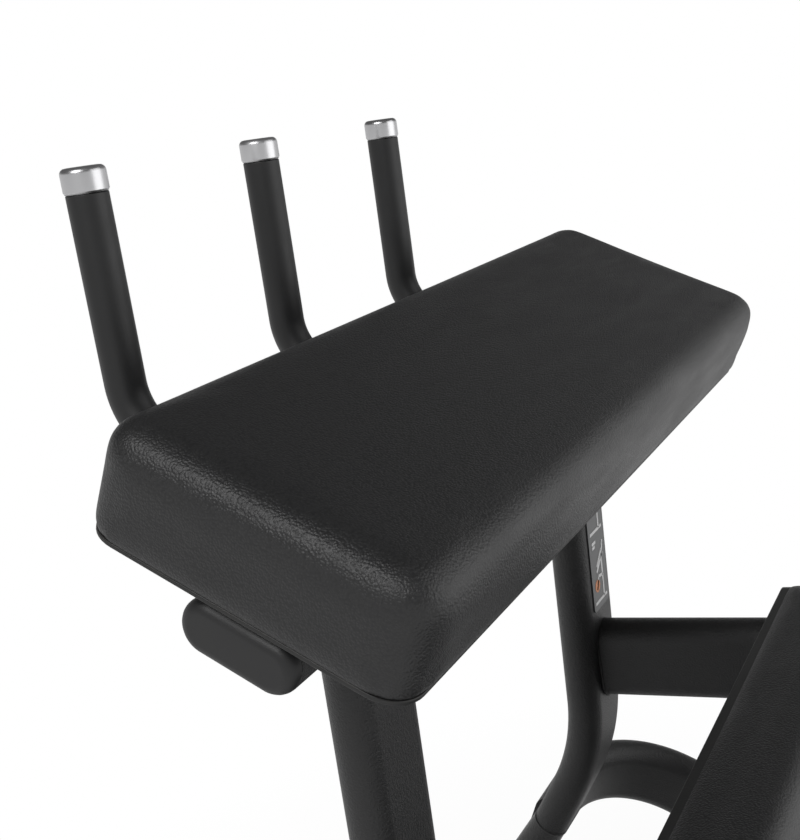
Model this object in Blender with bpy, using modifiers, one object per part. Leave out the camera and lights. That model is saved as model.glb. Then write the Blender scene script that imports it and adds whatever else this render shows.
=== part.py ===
"""Standing hamstring machine: a plate-loaded standing leg curl with a sloping belly pad and three handles.

Metres, +Z up. +X runs along the belly pad, -Y is the user's side and +Y the handles' side. The origin is on
the floor under the middle of the machine, and the machine is symmetric about X = 0.
"""

import math
from typing import NamedTuple

import bmesh
import bpy
from mathutils import Matrix, Vector

# Fits
GAP = 0.0003              # between two pieces that touch
RUNNING_GAP = 0.0006      # radial, between a shaft and its bore
SLIDING_GAP = 0.0005      # each side, between the roller stem and its sleeve
CUT_PAST = 0.010          # how far a cutter reaches past what it cuts

# Frame tube, a flat-sided oval
TUBE_LONG = 0.103
TUBE_SHORT = 0.046
TUBE_WALL = 0.003
TUBE_ROUND_STEPS = 6      # segments in each round side
BEND_STEPS = 8

# Posts, whose bend carries on into the legs
POST_SPACING = 0.509
KNEE_BEND_HEIGHT = 0.582
KNEE_BEND_ANGLE = math.radians(28)
KNEE_BEND_RADIUS = 0.28
SEAM_DROP = 0.127         # from the bend's corner down to the butt weld
LEG_ANGLE = math.radians(34)
LEG_OVERRUN = 0.04        # drawn past both ends, and then cut to the seam and the floor tube

# Base
FOOT_HEIGHT = 0.018
FOOT_RADIUS = 0.0278
FOOT_ROUNDING = 0.002
REAR_FOOT_WIDTH = 0.0414
REAR_FOOT_LENGTH = 0.0618
REAR_FOOT_WRAP = 0.016    # how far the rear feet reach up round the side arms
FRONT_TUBE_WIDTH = 0.86
SIDE_ARM_SPACING = 1.030
SIDE_ARM_UNDER_SEAM = 0.057   # its axis where it leaves the leg, below the butt weld
SIDE_ARM_SLOPE = math.radians(22)
SIDE_ARM_RADIUS = 0.139
SIDE_ARM_LOWER_RADIUS = 0.20
REAR_REACH = 0.872        # from the posts back to the end of the side arms
REAR_TUBE_INSET = 0.072   # from that end to the middle of the rear cross tube
MIDDLE_TUBE_REACH = 0.145
MIDDLE_TUBE_WIDTH = 0.78
CAP_THICKNESS = 0.012
CAP_ROUNDING = 0.010
CAP_PLUG = 0.015

# Platform
PLATFORM_WIDTH = 0.84
PLATFORM_FRONT_REACH = 0.085
PLATFORM_SHEET = 0.005
PLATFORM_SKIRT = 0.034
NOTCH_GAP = 0.003         # each side, between the front skirt and the spine
MAT_THICKNESS = 0.006
MAT_MARGIN = 0.020
MAT_CORNER = 0.025

# Belly pad and the cross tube under it
CROSS_TUBE_HEIGHT = 1.0643
CROSS_TUBE_SETBACK = 0.0228   # towards the user from the posts
BELLY_TILT = math.radians(24.57)
BELLY_LENGTH = 0.914
BELLY_WIDTH = 0.288
BELLY_THICKNESS = 0.0935
BELLY_BACK_THICKNESS = 0.004
BELLY_CORNER = 0.034
BELLY_EDGE_ROUND = 0.018
BELLY_SHIFT = 0.0053      # of the pad's middle from the cross tube's, towards the handles
MOUNT_LENGTH = 0.560      # plate between the cross tube and the belly pad
MOUNT_WIDTH = 0.080
MOUNT_THICKNESS = 0.005
MOUNT_CORNER = 0.006
BOARD_THICKNESS = 0.012
BOARD_MARGIN = 0.003
BOARD_ROUNDING = 0.001
CROSS_TUBE_END_INSET = 0.008  # the caps' faces lie this far inside the pad's ends

# Handles
HANDLE_SPACING = 0.262
HANDLE_REACH = 0.2086
HANDLE_TOP = 1.4037
HANDLE_BEND_RADIUS = 0.063
GRIP_DIAMETER = 0.038
GRIP_WALL = 0.0035
BAR_WALL = 0.0025
GRIP_TAIL = 0.035         # grip past the bend, towards the cross tube
HANDLE_CAP_HEIGHT = 0.023
HANDLE_CAP_OVERHANG = 0.0012
HANDLE_CAP_SPIGOT = 0.020

# Thigh pad and the tubes that carry it
THIGH_TUBE_HEIGHT = 0.7018    # its axis at the post's face
THIGH_TUBE_RISE = math.radians(6.2)
THIGH_TUBE_REACH = 0.2173     # from the post's face to the pad's board
THIGH_PAD_LENGTH = 0.70
THIGH_PAD_HEIGHT = 0.20
THIGH_PAD_THICKNESS = 0.090
THIGH_PAD_TOP = 0.064         # above the tubes' axis
THIGH_PAD_CORNER = 0.030
THIGH_EDGE_ROUND = 0.024

# Soft surfaces
PAD_CROWN = 0.0035
PAD_DRAW_IN = 0.0020

# Knee pivot
KNEE_REACH = 0.410        # from the posts towards the user
KNEE_UNDER_PAD = 0.04507  # the axis, below the thigh pad's lower edge
PIVOT_PLATE = 0.012
PLATE_UNDER_PAD = 0.010   # the plate's upper edge, below the same
PLATE_CORNER = 0.010
PLATE_HEEL_RADIUS = 0.060     # the rounded corner under the tube
PLATE_REAR_REACH = 0.0816     # from the post's face to the plate's rear edge
PLATE_UP_TUBE = 0.085         # the plate's top, over the tube's lower edge
PLATE_BEHIND_BOARD = 0.018
HOUSING_RADIUS = 0.036
HOUSING_LENGTH = 0.046
BEARING_RADIUS = 0.026
SHAFT_RADIUS = 0.0125
SHAFT_HEAD_RADIUS = 0.024
SHAFT_HEAD = 0.006
HUB_SIDE_GAP = 0.003      # between the lever's side plate and the housing
BUFFER_RADIUS = 0.015
BUFFER_DROP = 0.090       # below the knee axis
BUFFER_MARGIN = 0.008     # of plate round the buffer

# Lever
LEVER_PLATE = 0.012
LEVER_HUB_RADIUS = 0.042
LEVER_END_RADIUS = 0.057
ROLLER_SETBACK = 0.1165   # roller and cross tube behind the knee axis
ROLLER_LIFT = 0.0594      # of the rollers over the mat, when they are down
LEVER_TUBE_RISE = 0.138   # cross tube's middle over the roller axle, when that is down
ROLLER_RADIUS = 0.050
ROLLER_LENGTH = 0.195
ROLLER_EDGE = 0.012
ROLLER_SIDE_GAP = 0.004
ROLLER_NECK = 0.008       # of the roller's liner, between the stem and the foam
ROLLER_NECK_RADIUS = 0.020
HORN_RADIUS = 0.0240
HORN_LENGTH = 0.200
HORN_FLANGE_RADIUS = 0.036
HORN_FLANGE = 0.008
STEM_SIDE = 0.038
STEM_WALL = 0.003
STEM_ABOVE_AXLE = 0.205
STEM_BELOW_AXLE = 0.028
SLEEVE_WALL = 0.0055
SLEEVE_ABOVE = 0.045      # of the cross tube's middle
SLEEVE_BELOW = 0.060
STEM_TRAVEL = 0.055
LOCK_SCREW_RADIUS = 0.005
LOCK_BOSS_RADIUS = 0.013
LOCK_BOSS = 0.030         # long enough to keep the knob behind the cross tube
LOCK_DROP = 0.044         # boss under the cross tube's middle
KNOB_RADIUS = 0.026
KNOB_THICKNESS = 0.020
KNOB_LOBES = 6
KNOB_LOBE_HEIGHT = 0.003
AXLE_WASHER_RADIUS = 0.022
AXLE_WASHER = 0.005

# Placard
PLACARD_WIDTH = 0.052
PLACARD_THICKNESS = 0.0012
PLACARD_CORNER = 0.004
PLACARD_FROM, PLACARD_TO = 0.1964, 0.7206   # shares of the way from the thigh tubes to the cross tube

TURN_STEPS = 20
ROUND_BAR_RESOLUTION = 6   # 16 sides
X_AXIS, Y_AXIS, Z_AXIS = Vector((1, 0, 0)), Vector((0, 1, 0)), Vector((0, 0, 1))
MODEL_NAME, CUTTERS_NAME = "standing_hamstring_machine", "cutters"
SIDES = (("left", -1), ("right", 1))


def leaning(angle):
    """The direction down a leg that leans towards the handles by the angle."""
    return Vector((0, math.sin(angle), -math.cos(angle)))


# The legs land on the front cross tube, which sets how far the base reaches forward.
TUBE_TOP = FOOT_HEIGHT + TUBE_SHORT
SIDE_ARM_HEIGHT = KNEE_BEND_HEIGHT - SEAM_DROP - SIDE_ARM_UNDER_SEAM
SEAM_FORWARD = SEAM_DROP * math.tan(KNEE_BEND_ANGLE)
FRONT_TUBE_FORWARD = SEAM_FORWARD + (KNEE_BEND_HEIGHT - SEAM_DROP - TUBE_TOP) * math.tan(LEG_ANGLE)
FRONT_REACH = FRONT_TUBE_FORWARD + TUBE_LONG / 2
POST_Y = (REAR_REACH - FRONT_REACH) / 2
PAD_FORWARD = Vector((0, math.cos(BELLY_TILT), math.sin(BELLY_TILT)))
PAD_UP = Vector((0, -math.sin(BELLY_TILT), math.cos(BELLY_TILT)))
CROSS_TUBE = Vector((0, POST_Y - CROSS_TUBE_SETBACK, CROSS_TUBE_HEIGHT))
THIGH_OUT = Vector((0, -math.cos(THIGH_TUBE_RISE), math.sin(THIGH_TUBE_RISE)))
THIGH_UP = Vector((0, math.sin(THIGH_TUBE_RISE), math.cos(THIGH_TUBE_RISE)))
PIVOT_PLATE_X = (POST_SPACING + TUBE_SHORT) / 2 + GAP          # its inner face
HOUSING_X = PIVOT_PLATE_X + (PIVOT_PLATE - HOUSING_LENGTH) / 2  # its inner end
LEVER_X = HOUSING_X - HUB_SIDE_GAP                              # the side plates' outer faces
BORE_RADIUS = SHAFT_RADIUS + RUNNING_GAP
MAT_TOP = TUBE_TOP + PLATFORM_SHEET + MAT_THICKNESS + 2 * GAP
THIGH_ROOT = Vector((0, POST_Y - TUBE_SHORT / 2, THIGH_TUBE_HEIGHT))
THIGH_PAD_FOOT = (
    THIGH_ROOT + THIGH_OUT * THIGH_TUBE_REACH + THIGH_UP * (THIGH_PAD_TOP - THIGH_PAD_HEIGHT)
)
KNEE = Vector((0, POST_Y - KNEE_REACH, THIGH_PAD_FOOT.z - KNEE_UNDER_PAD))
AXLE = Vector((0, KNEE.y - ROLLER_SETBACK, MAT_TOP + ROLLER_LIFT + ROLLER_RADIUS))
LEVER_TUBE = AXLE + Z_AXIS * LEVER_TUBE_RISE


class Run(NamedTuple):
    """A straight stretch of tube."""

    length: float


class Bend(NamedTuple):
    """A bend of a tube towards a direction that is square to where it is heading."""

    angle: float
    radius: float
    toward: Vector


class Route(NamedTuple):
    """Where a tube starts, the way it heads, the way its long side faces, and its stretches."""

    start: Vector
    heading: Vector
    tall: Vector
    stretches: tuple


def make_material(name, colour, roughness, metallic=0.0):
    material = bpy.data.materials.new(name)
    material.use_nodes = True
    shader = material.node_tree.nodes["Principled BSDF"]
    shader.inputs["Base Color"].default_value = (*colour, 1)
    shader.inputs["Roughness"].default_value = roughness
    shader.inputs["Metallic"].default_value = metallic
    material.diffuse_color = (*colour, 1)
    return material


def add_object(name, bm, material, collection=MODEL_NAME):
    """Turns the bmesh into an object, with its outside faces out and its round sides smooth."""
    bmesh.ops.recalc_face_normals(bm, faces=bm.faces)
    mesh = bpy.data.meshes.new(name)
    bm.to_mesh(mesh)
    bm.free()
    mesh.shade_smooth()
    mesh.set_sharp_from_angle(angle=math.radians(35))
    obj = bpy.data.objects.new(name, mesh)
    bpy.data.collections[collection].objects.link(obj)
    if material:
        mesh.materials.append(material)
    if collection == CUTTERS_NAME:
        obj.hide_render = True
        obj.display_type = "WIRE"
    return obj


def boolean(piece, cutter, operation="DIFFERENCE"):
    modifier = piece.modifiers.new(f"{operation.lower()} {cutter.name}", "BOOLEAN")
    modifier.operation = operation
    modifier.object = cutter
    modifier.solver = "EXACT"


def move_origin(piece, place):
    """Puts the piece's origin on its joint's axis and leaves its shape where it is."""
    piece.data.transform(Matrix.Translation(-place) @ piece.matrix_world)
    piece.matrix_world = Matrix.Translation(place)


def oval_outline(long_side, short_side, steps=TUBE_ROUND_STEPS):
    """A flat-sided oval, as points across the short side and along the long side."""
    radius, straight = short_side / 2, (long_side - short_side) / 2
    upper = [math.pi * i / steps for i in range(steps + 1)]
    points = [(radius * math.cos(a), straight + radius * math.sin(a)) for a in upper]
    return points + [(-x, -y) for x, y in points]


def rounded_rectangle(length, width, corner, steps=4):
    points = []
    for quarter, (sx, sy) in enumerate(((1, 1), (-1, 1), (-1, -1), (1, -1))):
        centre = Vector((sx * (length / 2 - corner), sy * (width / 2 - corner)))
        for i in range(steps + 1):
            a = math.pi / 2 * (quarter + i / steps)
            points.append(tuple(centre + corner * Vector((math.cos(a), math.sin(a)))))
    return points


def link_outline(circles):
    """A plate's outline from its corners (centre, radius), anticlockwise. Inner corners stay sharp."""
    points = []
    for i, (centre, radius) in enumerate(circles):
        before, after = circles[i - 1], circles[(i + 1) % len(circles)]
        start = tangent_angle(before, (centre, radius))
        turn = (tangent_angle((centre, radius), after) - start) % (2 * math.pi)
        if turn > math.pi:
            points.append(tuple(centre))
            continue
        steps = max(1, round(turn / math.radians(20)))
        for step in range(steps + 1):
            angle = start + turn * step / steps
            points.append(tuple(Vector(centre) + radius * Vector((math.cos(angle), math.sin(angle)))))
    return points


def tangent_angle(first, second):
    """Where the outer tangent of two circles, walked anticlockwise, touches them, as an angle."""
    along = Vector(second[0]) - Vector(first[0])
    return math.atan2(along.y, along.x) - math.acos((first[1] - second[1]) / along.length)


def closed_outline(name, points, fill="NONE", thickness=0.0):
    """A flat curve through the points. With a fill and a thickness it is a plate about their plane."""
    curve = bpy.data.curves.new(name, "CURVE")
    curve.dimensions = "2D"
    curve.fill_mode = fill
    curve.extrude = thickness / 2
    spline = curve.splines.new("POLY")
    spline.points.add(len(points) - 1)
    for point, (x, y) in zip(spline.points, points):
        point.co = (x, y, 0, 1)
    spline.use_cyclic_u = True
    return bpy.data.objects.new(name, curve)


def mesh_from_curve(curve_object, material, collection):
    """Makes the curve object a mesh object of the same name and place, with its caps welded on."""
    bpy.data.collections[collection].objects.link(curve_object)
    depsgraph = bpy.context.evaluated_depsgraph_get()
    mesh = bpy.data.meshes.new_from_object(curve_object.evaluated_get(depsgraph))
    name, place = curve_object.name, curve_object.matrix_world.copy()
    curve = curve_object.data
    bpy.data.objects.remove(curve_object)
    bpy.data.curves.remove(curve)
    bm = bmesh.new()
    bm.from_mesh(mesh)
    bpy.data.meshes.remove(mesh)
    bmesh.ops.remove_doubles(bm, verts=bm.verts, dist=0.00001)
    piece = add_object(name, bm, material, collection)
    piece.matrix_world = place
    return piece


def route_points(route):
    """The points along a tube's middle, with BEND_STEPS steps in each bend."""
    points, place, heading = [route.start.copy()], route.start.copy(), route.heading.normalized()
    for stretch in route.stretches:
        if isinstance(stretch, Run):
            place = place + heading * stretch.length
            points.append(place)
            continue
        centre = place + stretch.toward * stretch.radius
        axis, spoke = heading.cross(stretch.toward), place - centre
        for step in range(1, BEND_STEPS + 1):
            turned_by = Matrix.Rotation(stretch.angle * step / BEND_STEPS, 3, axis)
            points.append(centre + turned_by @ spoke)
        place = points[-1]
        heading = Matrix.Rotation(stretch.angle, 3, axis) @ heading
    return points


def swept(name, section, route, material, collection=MODEL_NAME, capped=False):
    """A section carried along the route, as a mesh with open or closed ends.

    The section is a pair of sizes for the flat-sided oval, or one diameter. The curve's own Z is the way
    the long side faces, which the twist mode keeps upright.
    """
    heading, tall = route.heading.normalized(), route.tall.normalized()
    frame = Matrix((heading, tall.cross(heading), tall)).transposed()
    curve = bpy.data.curves.new(name, "CURVE")
    curve.dimensions = "3D"
    curve.twist_mode = "Z_UP"
    curve.use_fill_caps = capped
    if isinstance(section, tuple):
        profile = closed_outline(f"section_of_{name}", oval_outline(*section))
        bpy.data.collections[CUTTERS_NAME].objects.link(profile)
        profile.hide_render = True
        curve.bevel_mode = "OBJECT"
        curve.bevel_object = profile
    else:
        profile = None
        curve.bevel_depth = section / 2
        curve.bevel_resolution = ROUND_BAR_RESOLUTION
    spline = curve.splines.new("POLY")
    points = route_points(route)
    spline.points.add(len(points) - 1)
    for point, place in zip(spline.points, points):
        point.co = (*(frame.transposed() @ (place - route.start)), 1)
    tube = bpy.data.objects.new(name, curve)
    tube.matrix_world = Matrix.Translation(route.start) @ frame.to_4x4()
    piece = mesh_from_curve(tube, material, collection)
    if profile:
        bpy.data.objects.remove(profile)
    return piece


def hollow_tube(name, section, route, wall, material):
    """A tube with open ends. The wall is made inwards, so the section is its outside."""
    tube = swept(name, section, route, material)
    solidify = tube.modifiers.new("wall", "SOLIDIFY")
    solidify.thickness = wall
    solidify.offset = -1
    solidify.use_even_offset = True
    return tube


def frame_tube(name, route, material):
    return hollow_tube(name, (TUBE_LONG, TUBE_SHORT), route, TUBE_WALL, material)


def tube_cutter(name, route):
    """The space that a frame tube needs, with its clearance."""
    section = (TUBE_LONG + 2 * GAP, TUBE_SHORT + 2 * GAP)
    return swept(name, section, route, None, CUTTERS_NAME, capped=True)


def slice_off(piece, name, point, normal, size=0.5):
    """Cuts away what lies past a plane."""
    bm = bmesh.new()
    turn = normal.normalized().to_track_quat("Z", "Y").to_matrix().to_4x4()
    middle = Matrix.Translation(point + normal.normalized() * size / 2) @ turn
    bmesh.ops.create_cube(bm, size=size, matrix=middle)
    boolean(piece, add_object(name, bm, None, CUTTERS_NAME))


def plate(name, outline, place, thickness, material, collection=MODEL_NAME):
    """A flat outline with a thickness, which rises from the matrix's XY plane."""
    flat = closed_outline(name, outline, "BOTH", thickness)
    flat.matrix_world = place @ Matrix.Translation((0, 0, thickness / 2))
    return mesh_from_curve(flat, material, collection)


def round_over(piece, width, segments=2):
    """Rounds the piece's sharp edges."""
    bevel = piece.modifiers.new("round", "BEVEL")
    bevel.width = width
    bevel.segments = segments
    bevel.limit_method = "ANGLE"
    bevel.angle_limit = math.radians(50)


def box_object(name, size, centre, material, collection=MODEL_NAME):
    bm = bmesh.new()
    place = Matrix.Translation(centre) @ Matrix.Diagonal(Vector(size)).to_4x4()
    bmesh.ops.create_cube(bm, size=1, matrix=place)
    return add_object(name, bm, material, collection)


def turned(name, profile, centre, direction, material, collection=MODEL_NAME, steps=TURN_STEPS):
    """A piece turned about a direction from (radius, height) points, from its top down its outside.

    A profile that starts and ends on the axis makes a solid. One that ends where it starts makes a ring.
    """
    mesh = bpy.data.meshes.new(name)
    points = profile[:-1] if profile[0] == profile[-1] else profile
    edges = [(i, i + 1) for i in range(len(points) - 1)]
    if profile[0] == profile[-1]:
        edges.append((len(points) - 1, 0))
    mesh.from_pydata([(radius, 0, height) for radius, height in points], edges, [])
    obj = bpy.data.objects.new(name, mesh)
    bpy.data.collections[collection].objects.link(obj)
    obj.location = centre
    obj.rotation_euler = direction.to_track_quat("Z", "Y").to_euler()
    screw = obj.modifiers.new("turn", "SCREW")
    screw.steps = steps
    screw.render_steps = steps
    screw.use_merge_vertices = True
    screw.merge_threshold = 0.00005
    screw.use_smooth_shade = True
    if material:
        mesh.materials.append(material)
    if collection == CUTTERS_NAME:
        obj.hide_render = True
        obj.display_type = "WIRE"
    return obj


def cylinder_profile(radius, low, high):
    return [(0, high), (radius, high), (radius, low), (0, low)]


def round_corner(across, up, radius):
    """Bends a square edge of this radius to a round one: both distances run from 0 to the radius."""
    if across <= 0 or up <= 0:
        return across, up
    reach = max(across, up) / math.hypot(across, up)
    return across * reach, up * reach


def cushion(name, size, corner, edge, place, material, bottom_edge=0.004):
    """A padded block over the matrix's XY plane, with a crown and sides that draw in between its corners.

    It starts as a box, which is cut across where it bends. Its points are then moved to the rounded form.
    """
    length, width, height = size
    bm = bmesh.new()
    bmesh.ops.create_cube(bm, size=1, matrix=Matrix.Diagonal(Vector((length, width, height))).to_4x4())
    bmesh.ops.translate(bm, verts=bm.verts, vec=(0, 0, height / 2))
    for axis, half in ((X_AXIS, length / 2), (Y_AXIS, width / 2)):
        inner = half - corner
        cuts = [half - corner * share for share in (0.30, 0.62, 1)] + [inner * 0.5]
        for cut in [0] + cuts + [-c for c in cuts]:
            everything = list(bm.verts) + list(bm.edges) + list(bm.faces)
            bmesh.ops.bisect_plane(bm, geom=everything, plane_co=axis * cut, plane_no=axis)
    for cut in (bottom_edge, height * 0.45, height - edge, height - edge * 0.55):
        everything = list(bm.verts) + list(bm.edges) + list(bm.faces)
        bmesh.ops.bisect_plane(bm, geom=everything, plane_co=Z_AXIS * cut, plane_no=Z_AXIS)
    for vert in bm.verts:
        vert.co = cushion_point(vert.co.copy(), size, corner, edge, bottom_edge)
    bmesh.ops.transform(bm, matrix=place, verts=bm.verts)
    return add_object(name, bm, material)


def cushion_point(point, size, corner, edge, bottom_edge):
    """Where a point of the plain box goes on the cushion."""
    half = Vector((size[0] / 2, size[1] / 2))
    sign = Vector((math.copysign(1, point.x), math.copysign(1, point.y)))
    flat = Vector((abs(point.x), abs(point.y)))
    past = flat - (half - Vector((corner, corner)))
    if past.x > 0 and past.y > 0:
        reach = max(past.x, past.y)
        past = past.normalized() * reach
        flat = half - Vector((corner, corner)) + past
        outward = past.normalized()
    else:
        reach = max(past.x, past.y)
        outward = Vector((1, 0)) if past.x > past.y else Vector((0, 1))
    for radius, up in ((edge, point.z - size[2] + edge), (bottom_edge, bottom_edge - point.z)):
        across = reach - corner + radius
        moved_across, moved_up = round_corner(across, up, radius)
        flat += outward * (moved_across - across)
        point.z += (moved_up - up) * (1 if radius == edge else -1)
    share = Vector((flat.x / half.x, flat.y / half.y))
    height_share = point.z / size[2]
    point.z += PAD_CROWN * height_share**3 * (1 - share.x**4) * (1 - share.y**4)
    waist = 4 * height_share * (1 - height_share)
    if reach > corner - edge:
        along = share.x if abs(outward.y) > 0.7 else share.y
        flat -= outward * PAD_DRAW_IN * waist * max(0, 1 - along**2)
    return Vector((sign.x * flat.x, sign.y * flat.y, point.z))


def oval_cap(name, place, outward, tall, material):
    """A moulded plug for a tube's end, with a rounded face outside and a spigot in the tube's bore."""
    turn = Matrix((tall.cross(outward), tall, outward)).transposed().to_4x4()
    outside = Matrix.Translation(place + outward * GAP) @ turn
    cap = plate(name, oval_outline(TUBE_LONG, TUBE_SHORT), outside, CAP_THICKNESS, material)
    bm = bmesh.new()
    bm.from_mesh(cap.data)
    outer = [e for e in bm.edges if all(v.co.z > 0 for v in e.verts)]
    rim = [e for e in outer if e.calc_face_angle() > math.pi / 4]
    bmesh.ops.bevel(bm, geom=rim, offset=CAP_ROUNDING, segments=3, profile=0.5, affect="EDGES")
    bm.to_mesh(cap.data)
    bm.free()
    inside = 2 * (TUBE_WALL + GAP)
    spigot = plate(
        f"spigot_of_{name}",
        oval_outline(TUBE_LONG - inside, TUBE_SHORT - inside),
        Matrix.Translation(place - outward * CAP_PLUG) @ turn,
        CAP_PLUG + CAP_THICKNESS / 2,
        None,
        CUTTERS_NAME,
    )
    boolean(cap, spigot, "UNION")
    return cap


def leg_route(side, grow=0.0):
    """The seam's place, and the leg's centre line from above it to below the front cross tube's top."""
    seam = Vector((side * POST_SPACING / 2, POST_Y + SEAM_FORWARD, KNEE_BEND_HEIGHT - SEAM_DROP))
    down = leaning(LEG_ANGLE)
    length = (seam.z - TUBE_TOP) / math.cos(LEG_ANGLE)
    past = LEG_OVERRUN + grow
    return seam, Route(seam - down * past, down, X_AXIS, (Run(length + 2 * past),))


def make_posts(paint):
    """The two posts and the two base tubes that carry on from them, joined at a mitred butt weld."""
    tangent = KNEE_BEND_RADIUS * math.tan(KNEE_BEND_ANGLE / 2)
    over_pad = tube_cutter(
        "space_for_upper_cross_tube",
        Route(CROSS_TUBE - X_AXIS * BELLY_LENGTH / 2, X_AXIS, PAD_FORWARD, (Run(BELLY_LENGTH),)),
    )
    mitre = leaning((KNEE_BEND_ANGLE + LEG_ANGLE) / 2)
    for word, side in SIDES:
        seam, leg = leg_route(side)
        top = Vector((side * POST_SPACING / 2, POST_Y, CROSS_TUBE_HEIGHT))
        upright = CROSS_TUBE_HEIGHT - KNEE_BEND_HEIGHT - tangent
        lower = SEAM_DROP / math.cos(KNEE_BEND_ANGLE) - tangent
        past_seam = lower + LEG_OVERRUN / 2
        stretches = (Run(upright), Bend(KNEE_BEND_ANGLE, KNEE_BEND_RADIUS, Y_AXIS), Run(past_seam))
        down = Route(top, -Z_AXIS, X_AXIS, stretches)
        post = frame_tube(f"{word}_post", down, paint)
        boolean(post, over_pad)
        slice_off(post, f"past_{word}_post", seam - mitre * GAP / 2, mitre)
        base = frame_tube(f"{word}_base_tube", leg, paint)
        slice_off(base, f"above_{word}_seam", seam + mitre * GAP / 2, -mitre)
        front = Vector((side * POST_SPACING / 2, POST_Y + FRONT_TUBE_FORWARD, TUBE_TOP + GAP))
        slice_off(base, f"below_{word}_base_tube", front, -Z_AXIS)


def side_arm_route(side):
    """From the leg's outer side, round towards the user, down the slope and along the floor."""
    seam, _ = leg_route(side)
    forward = SEAM_FORWARD + (seam.z - SIDE_ARM_HEIGHT) * math.tan(LEG_ANGLE)
    out = X_AXIS * side
    start_x = POST_SPACING / 2 + (TUBE_LONG - TUBE_SHORT) / 2
    start = Vector((side * start_x, POST_Y + forward, SIDE_ARM_HEIGHT))
    toward_user = Vector((0, -math.cos(SIDE_ARM_SLOPE), -math.sin(SIDE_ARM_SLOPE)))
    square = Vector((0, -math.sin(SIDE_ARM_SLOPE), math.cos(SIDE_ARM_SLOPE)))
    drop = SIDE_ARM_HEIGHT - SIDE_ARM_RADIUS * math.sin(SIDE_ARM_SLOPE) - FOOT_HEIGHT - TUBE_LONG / 2
    in_bend = SIDE_ARM_LOWER_RADIUS * (1 - math.cos(SIDE_ARM_SLOPE))
    slope = (drop - in_bend) / math.sin(SIDE_ARM_SLOPE)
    reached = (
        start.y
        - SIDE_ARM_RADIUS * math.cos(SIDE_ARM_SLOPE)
        - slope * math.cos(SIDE_ARM_SLOPE)
        - SIDE_ARM_LOWER_RADIUS * math.sin(SIDE_ARM_SLOPE)
    )
    floor_run = reached - (POST_Y - REAR_REACH) - CAP_THICKNESS - GAP
    outward_run = SIDE_ARM_SPACING / 2 - SIDE_ARM_RADIUS - start_x
    stretches = (
        Run(outward_run),
        Bend(math.pi / 2, SIDE_ARM_RADIUS, toward_user),
        Run(slope),
        Bend(SIDE_ARM_SLOPE, SIDE_ARM_LOWER_RADIUS, square),
        Run(floor_run),
    )
    return Route(start, out, square, stretches)


def make_base(paint, plastic, rubber):
    """Side arms, cross tubes, spine, caps and rubber feet."""
    rear_y = POST_Y - REAR_REACH + REAR_TUBE_INSET
    front_y = POST_Y + FRONT_TUBE_FORWARD
    middle_y = POST_Y - MIDDLE_TUBE_REACH
    level = FOOT_HEIGHT + TUBE_SHORT / 2
    rear_width = SIDE_ARM_SPACING - TUBE_SHORT / 2
    front_width = FRONT_TUBE_WIDTH - 2 * (CAP_THICKNESS + GAP)
    rear = frame_tube("rear_cross_tube", flat_route(rear_width, rear_y, level), paint)
    rear_space = tube_cutter("space_for_rear_tube", flat_route(rear_width + 2 * GAP, rear_y, level))
    frame_tube("middle_cross_tube", flat_route(MIDDLE_TUBE_WIDTH, middle_y, level), paint)
    frame_tube("front_cross_tube", flat_route(front_width, front_y, level), paint)
    for name, far, near in (("front_spine", front_y, middle_y), ("rear_spine", middle_y, rear_y)):
        start = Vector((0, far - TUBE_LONG / 2 + TUBE_SHORT, level))
        run = Run(far - near - TUBE_LONG + 2 * TUBE_SHORT)
        piece = frame_tube(name, Route(start, -Y_AXIS, X_AXIS, (run,)), paint)
        for end, y in (("far", far), ("near", near)):
            space = flat_route(2 * TUBE_LONG, y, level)
            boolean(piece, tube_cutter(f"{end}_end_of_{name}", space))
    for word, side in SIDES:
        arm = frame_tube(f"{word}_side_arm", side_arm_route(side), paint)
        boolean(arm, tube_cutter(f"space_for_{word}_leg", leg_route(side, LEG_OVERRUN)[1]))
        boolean(rear, tube_cutter(f"space_for_{word}_side_arm", side_arm_route(side)))
        end_y = POST_Y - REAR_REACH + CAP_THICKNESS + GAP
        end = Vector((side * SIDE_ARM_SPACING / 2, end_y, FOOT_HEIGHT + TUBE_LONG / 2))
        oval_cap(f"{word}_side_arm_cap", end, -Y_AXIS, Z_AXIS, plastic)
        cap_place = Vector((side * front_width / 2, front_y, level))
        oval_cap(f"{word}_front_cap", cap_place, X_AXIS * side, Y_AXIS, plastic)
        foot_place = Vector((side * (FRONT_TUBE_WIDTH / 2 - TUBE_LONG / 2), front_y, 0))
        turned(f"{word}_front_foot", foot_profile(), foot_place, Z_AXIS, rubber)
        size = (REAR_FOOT_WIDTH, REAR_FOOT_LENGTH, FOOT_HEIGHT + REAR_FOOT_WRAP)
        saddle = box_object(f"{word}_rear_foot", size, Vector((end.x, rear_y, size[2] / 2)), rubber)
        boolean(saddle, bpy.data.objects[f"space_for_{word}_side_arm"])
        boolean(saddle, rear_space)


def foot_profile():
    """A rubber foot that is wider where it stands."""
    high, wide, edge = FOOT_HEIGHT - GAP, FOOT_RADIUS, FOOT_ROUNDING
    return [(0, high), (wide - edge, high), (wide, high - 2 * edge), (wide, edge), (wide - edge, 0), (0, 0)]


def flat_route(length, y, z):
    """A tube along X that lies flat, with its middle at X = 0."""
    return Route(Vector((-length / 2, y, z)), X_AXIS, Y_AXIS, (Run(length),))


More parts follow.
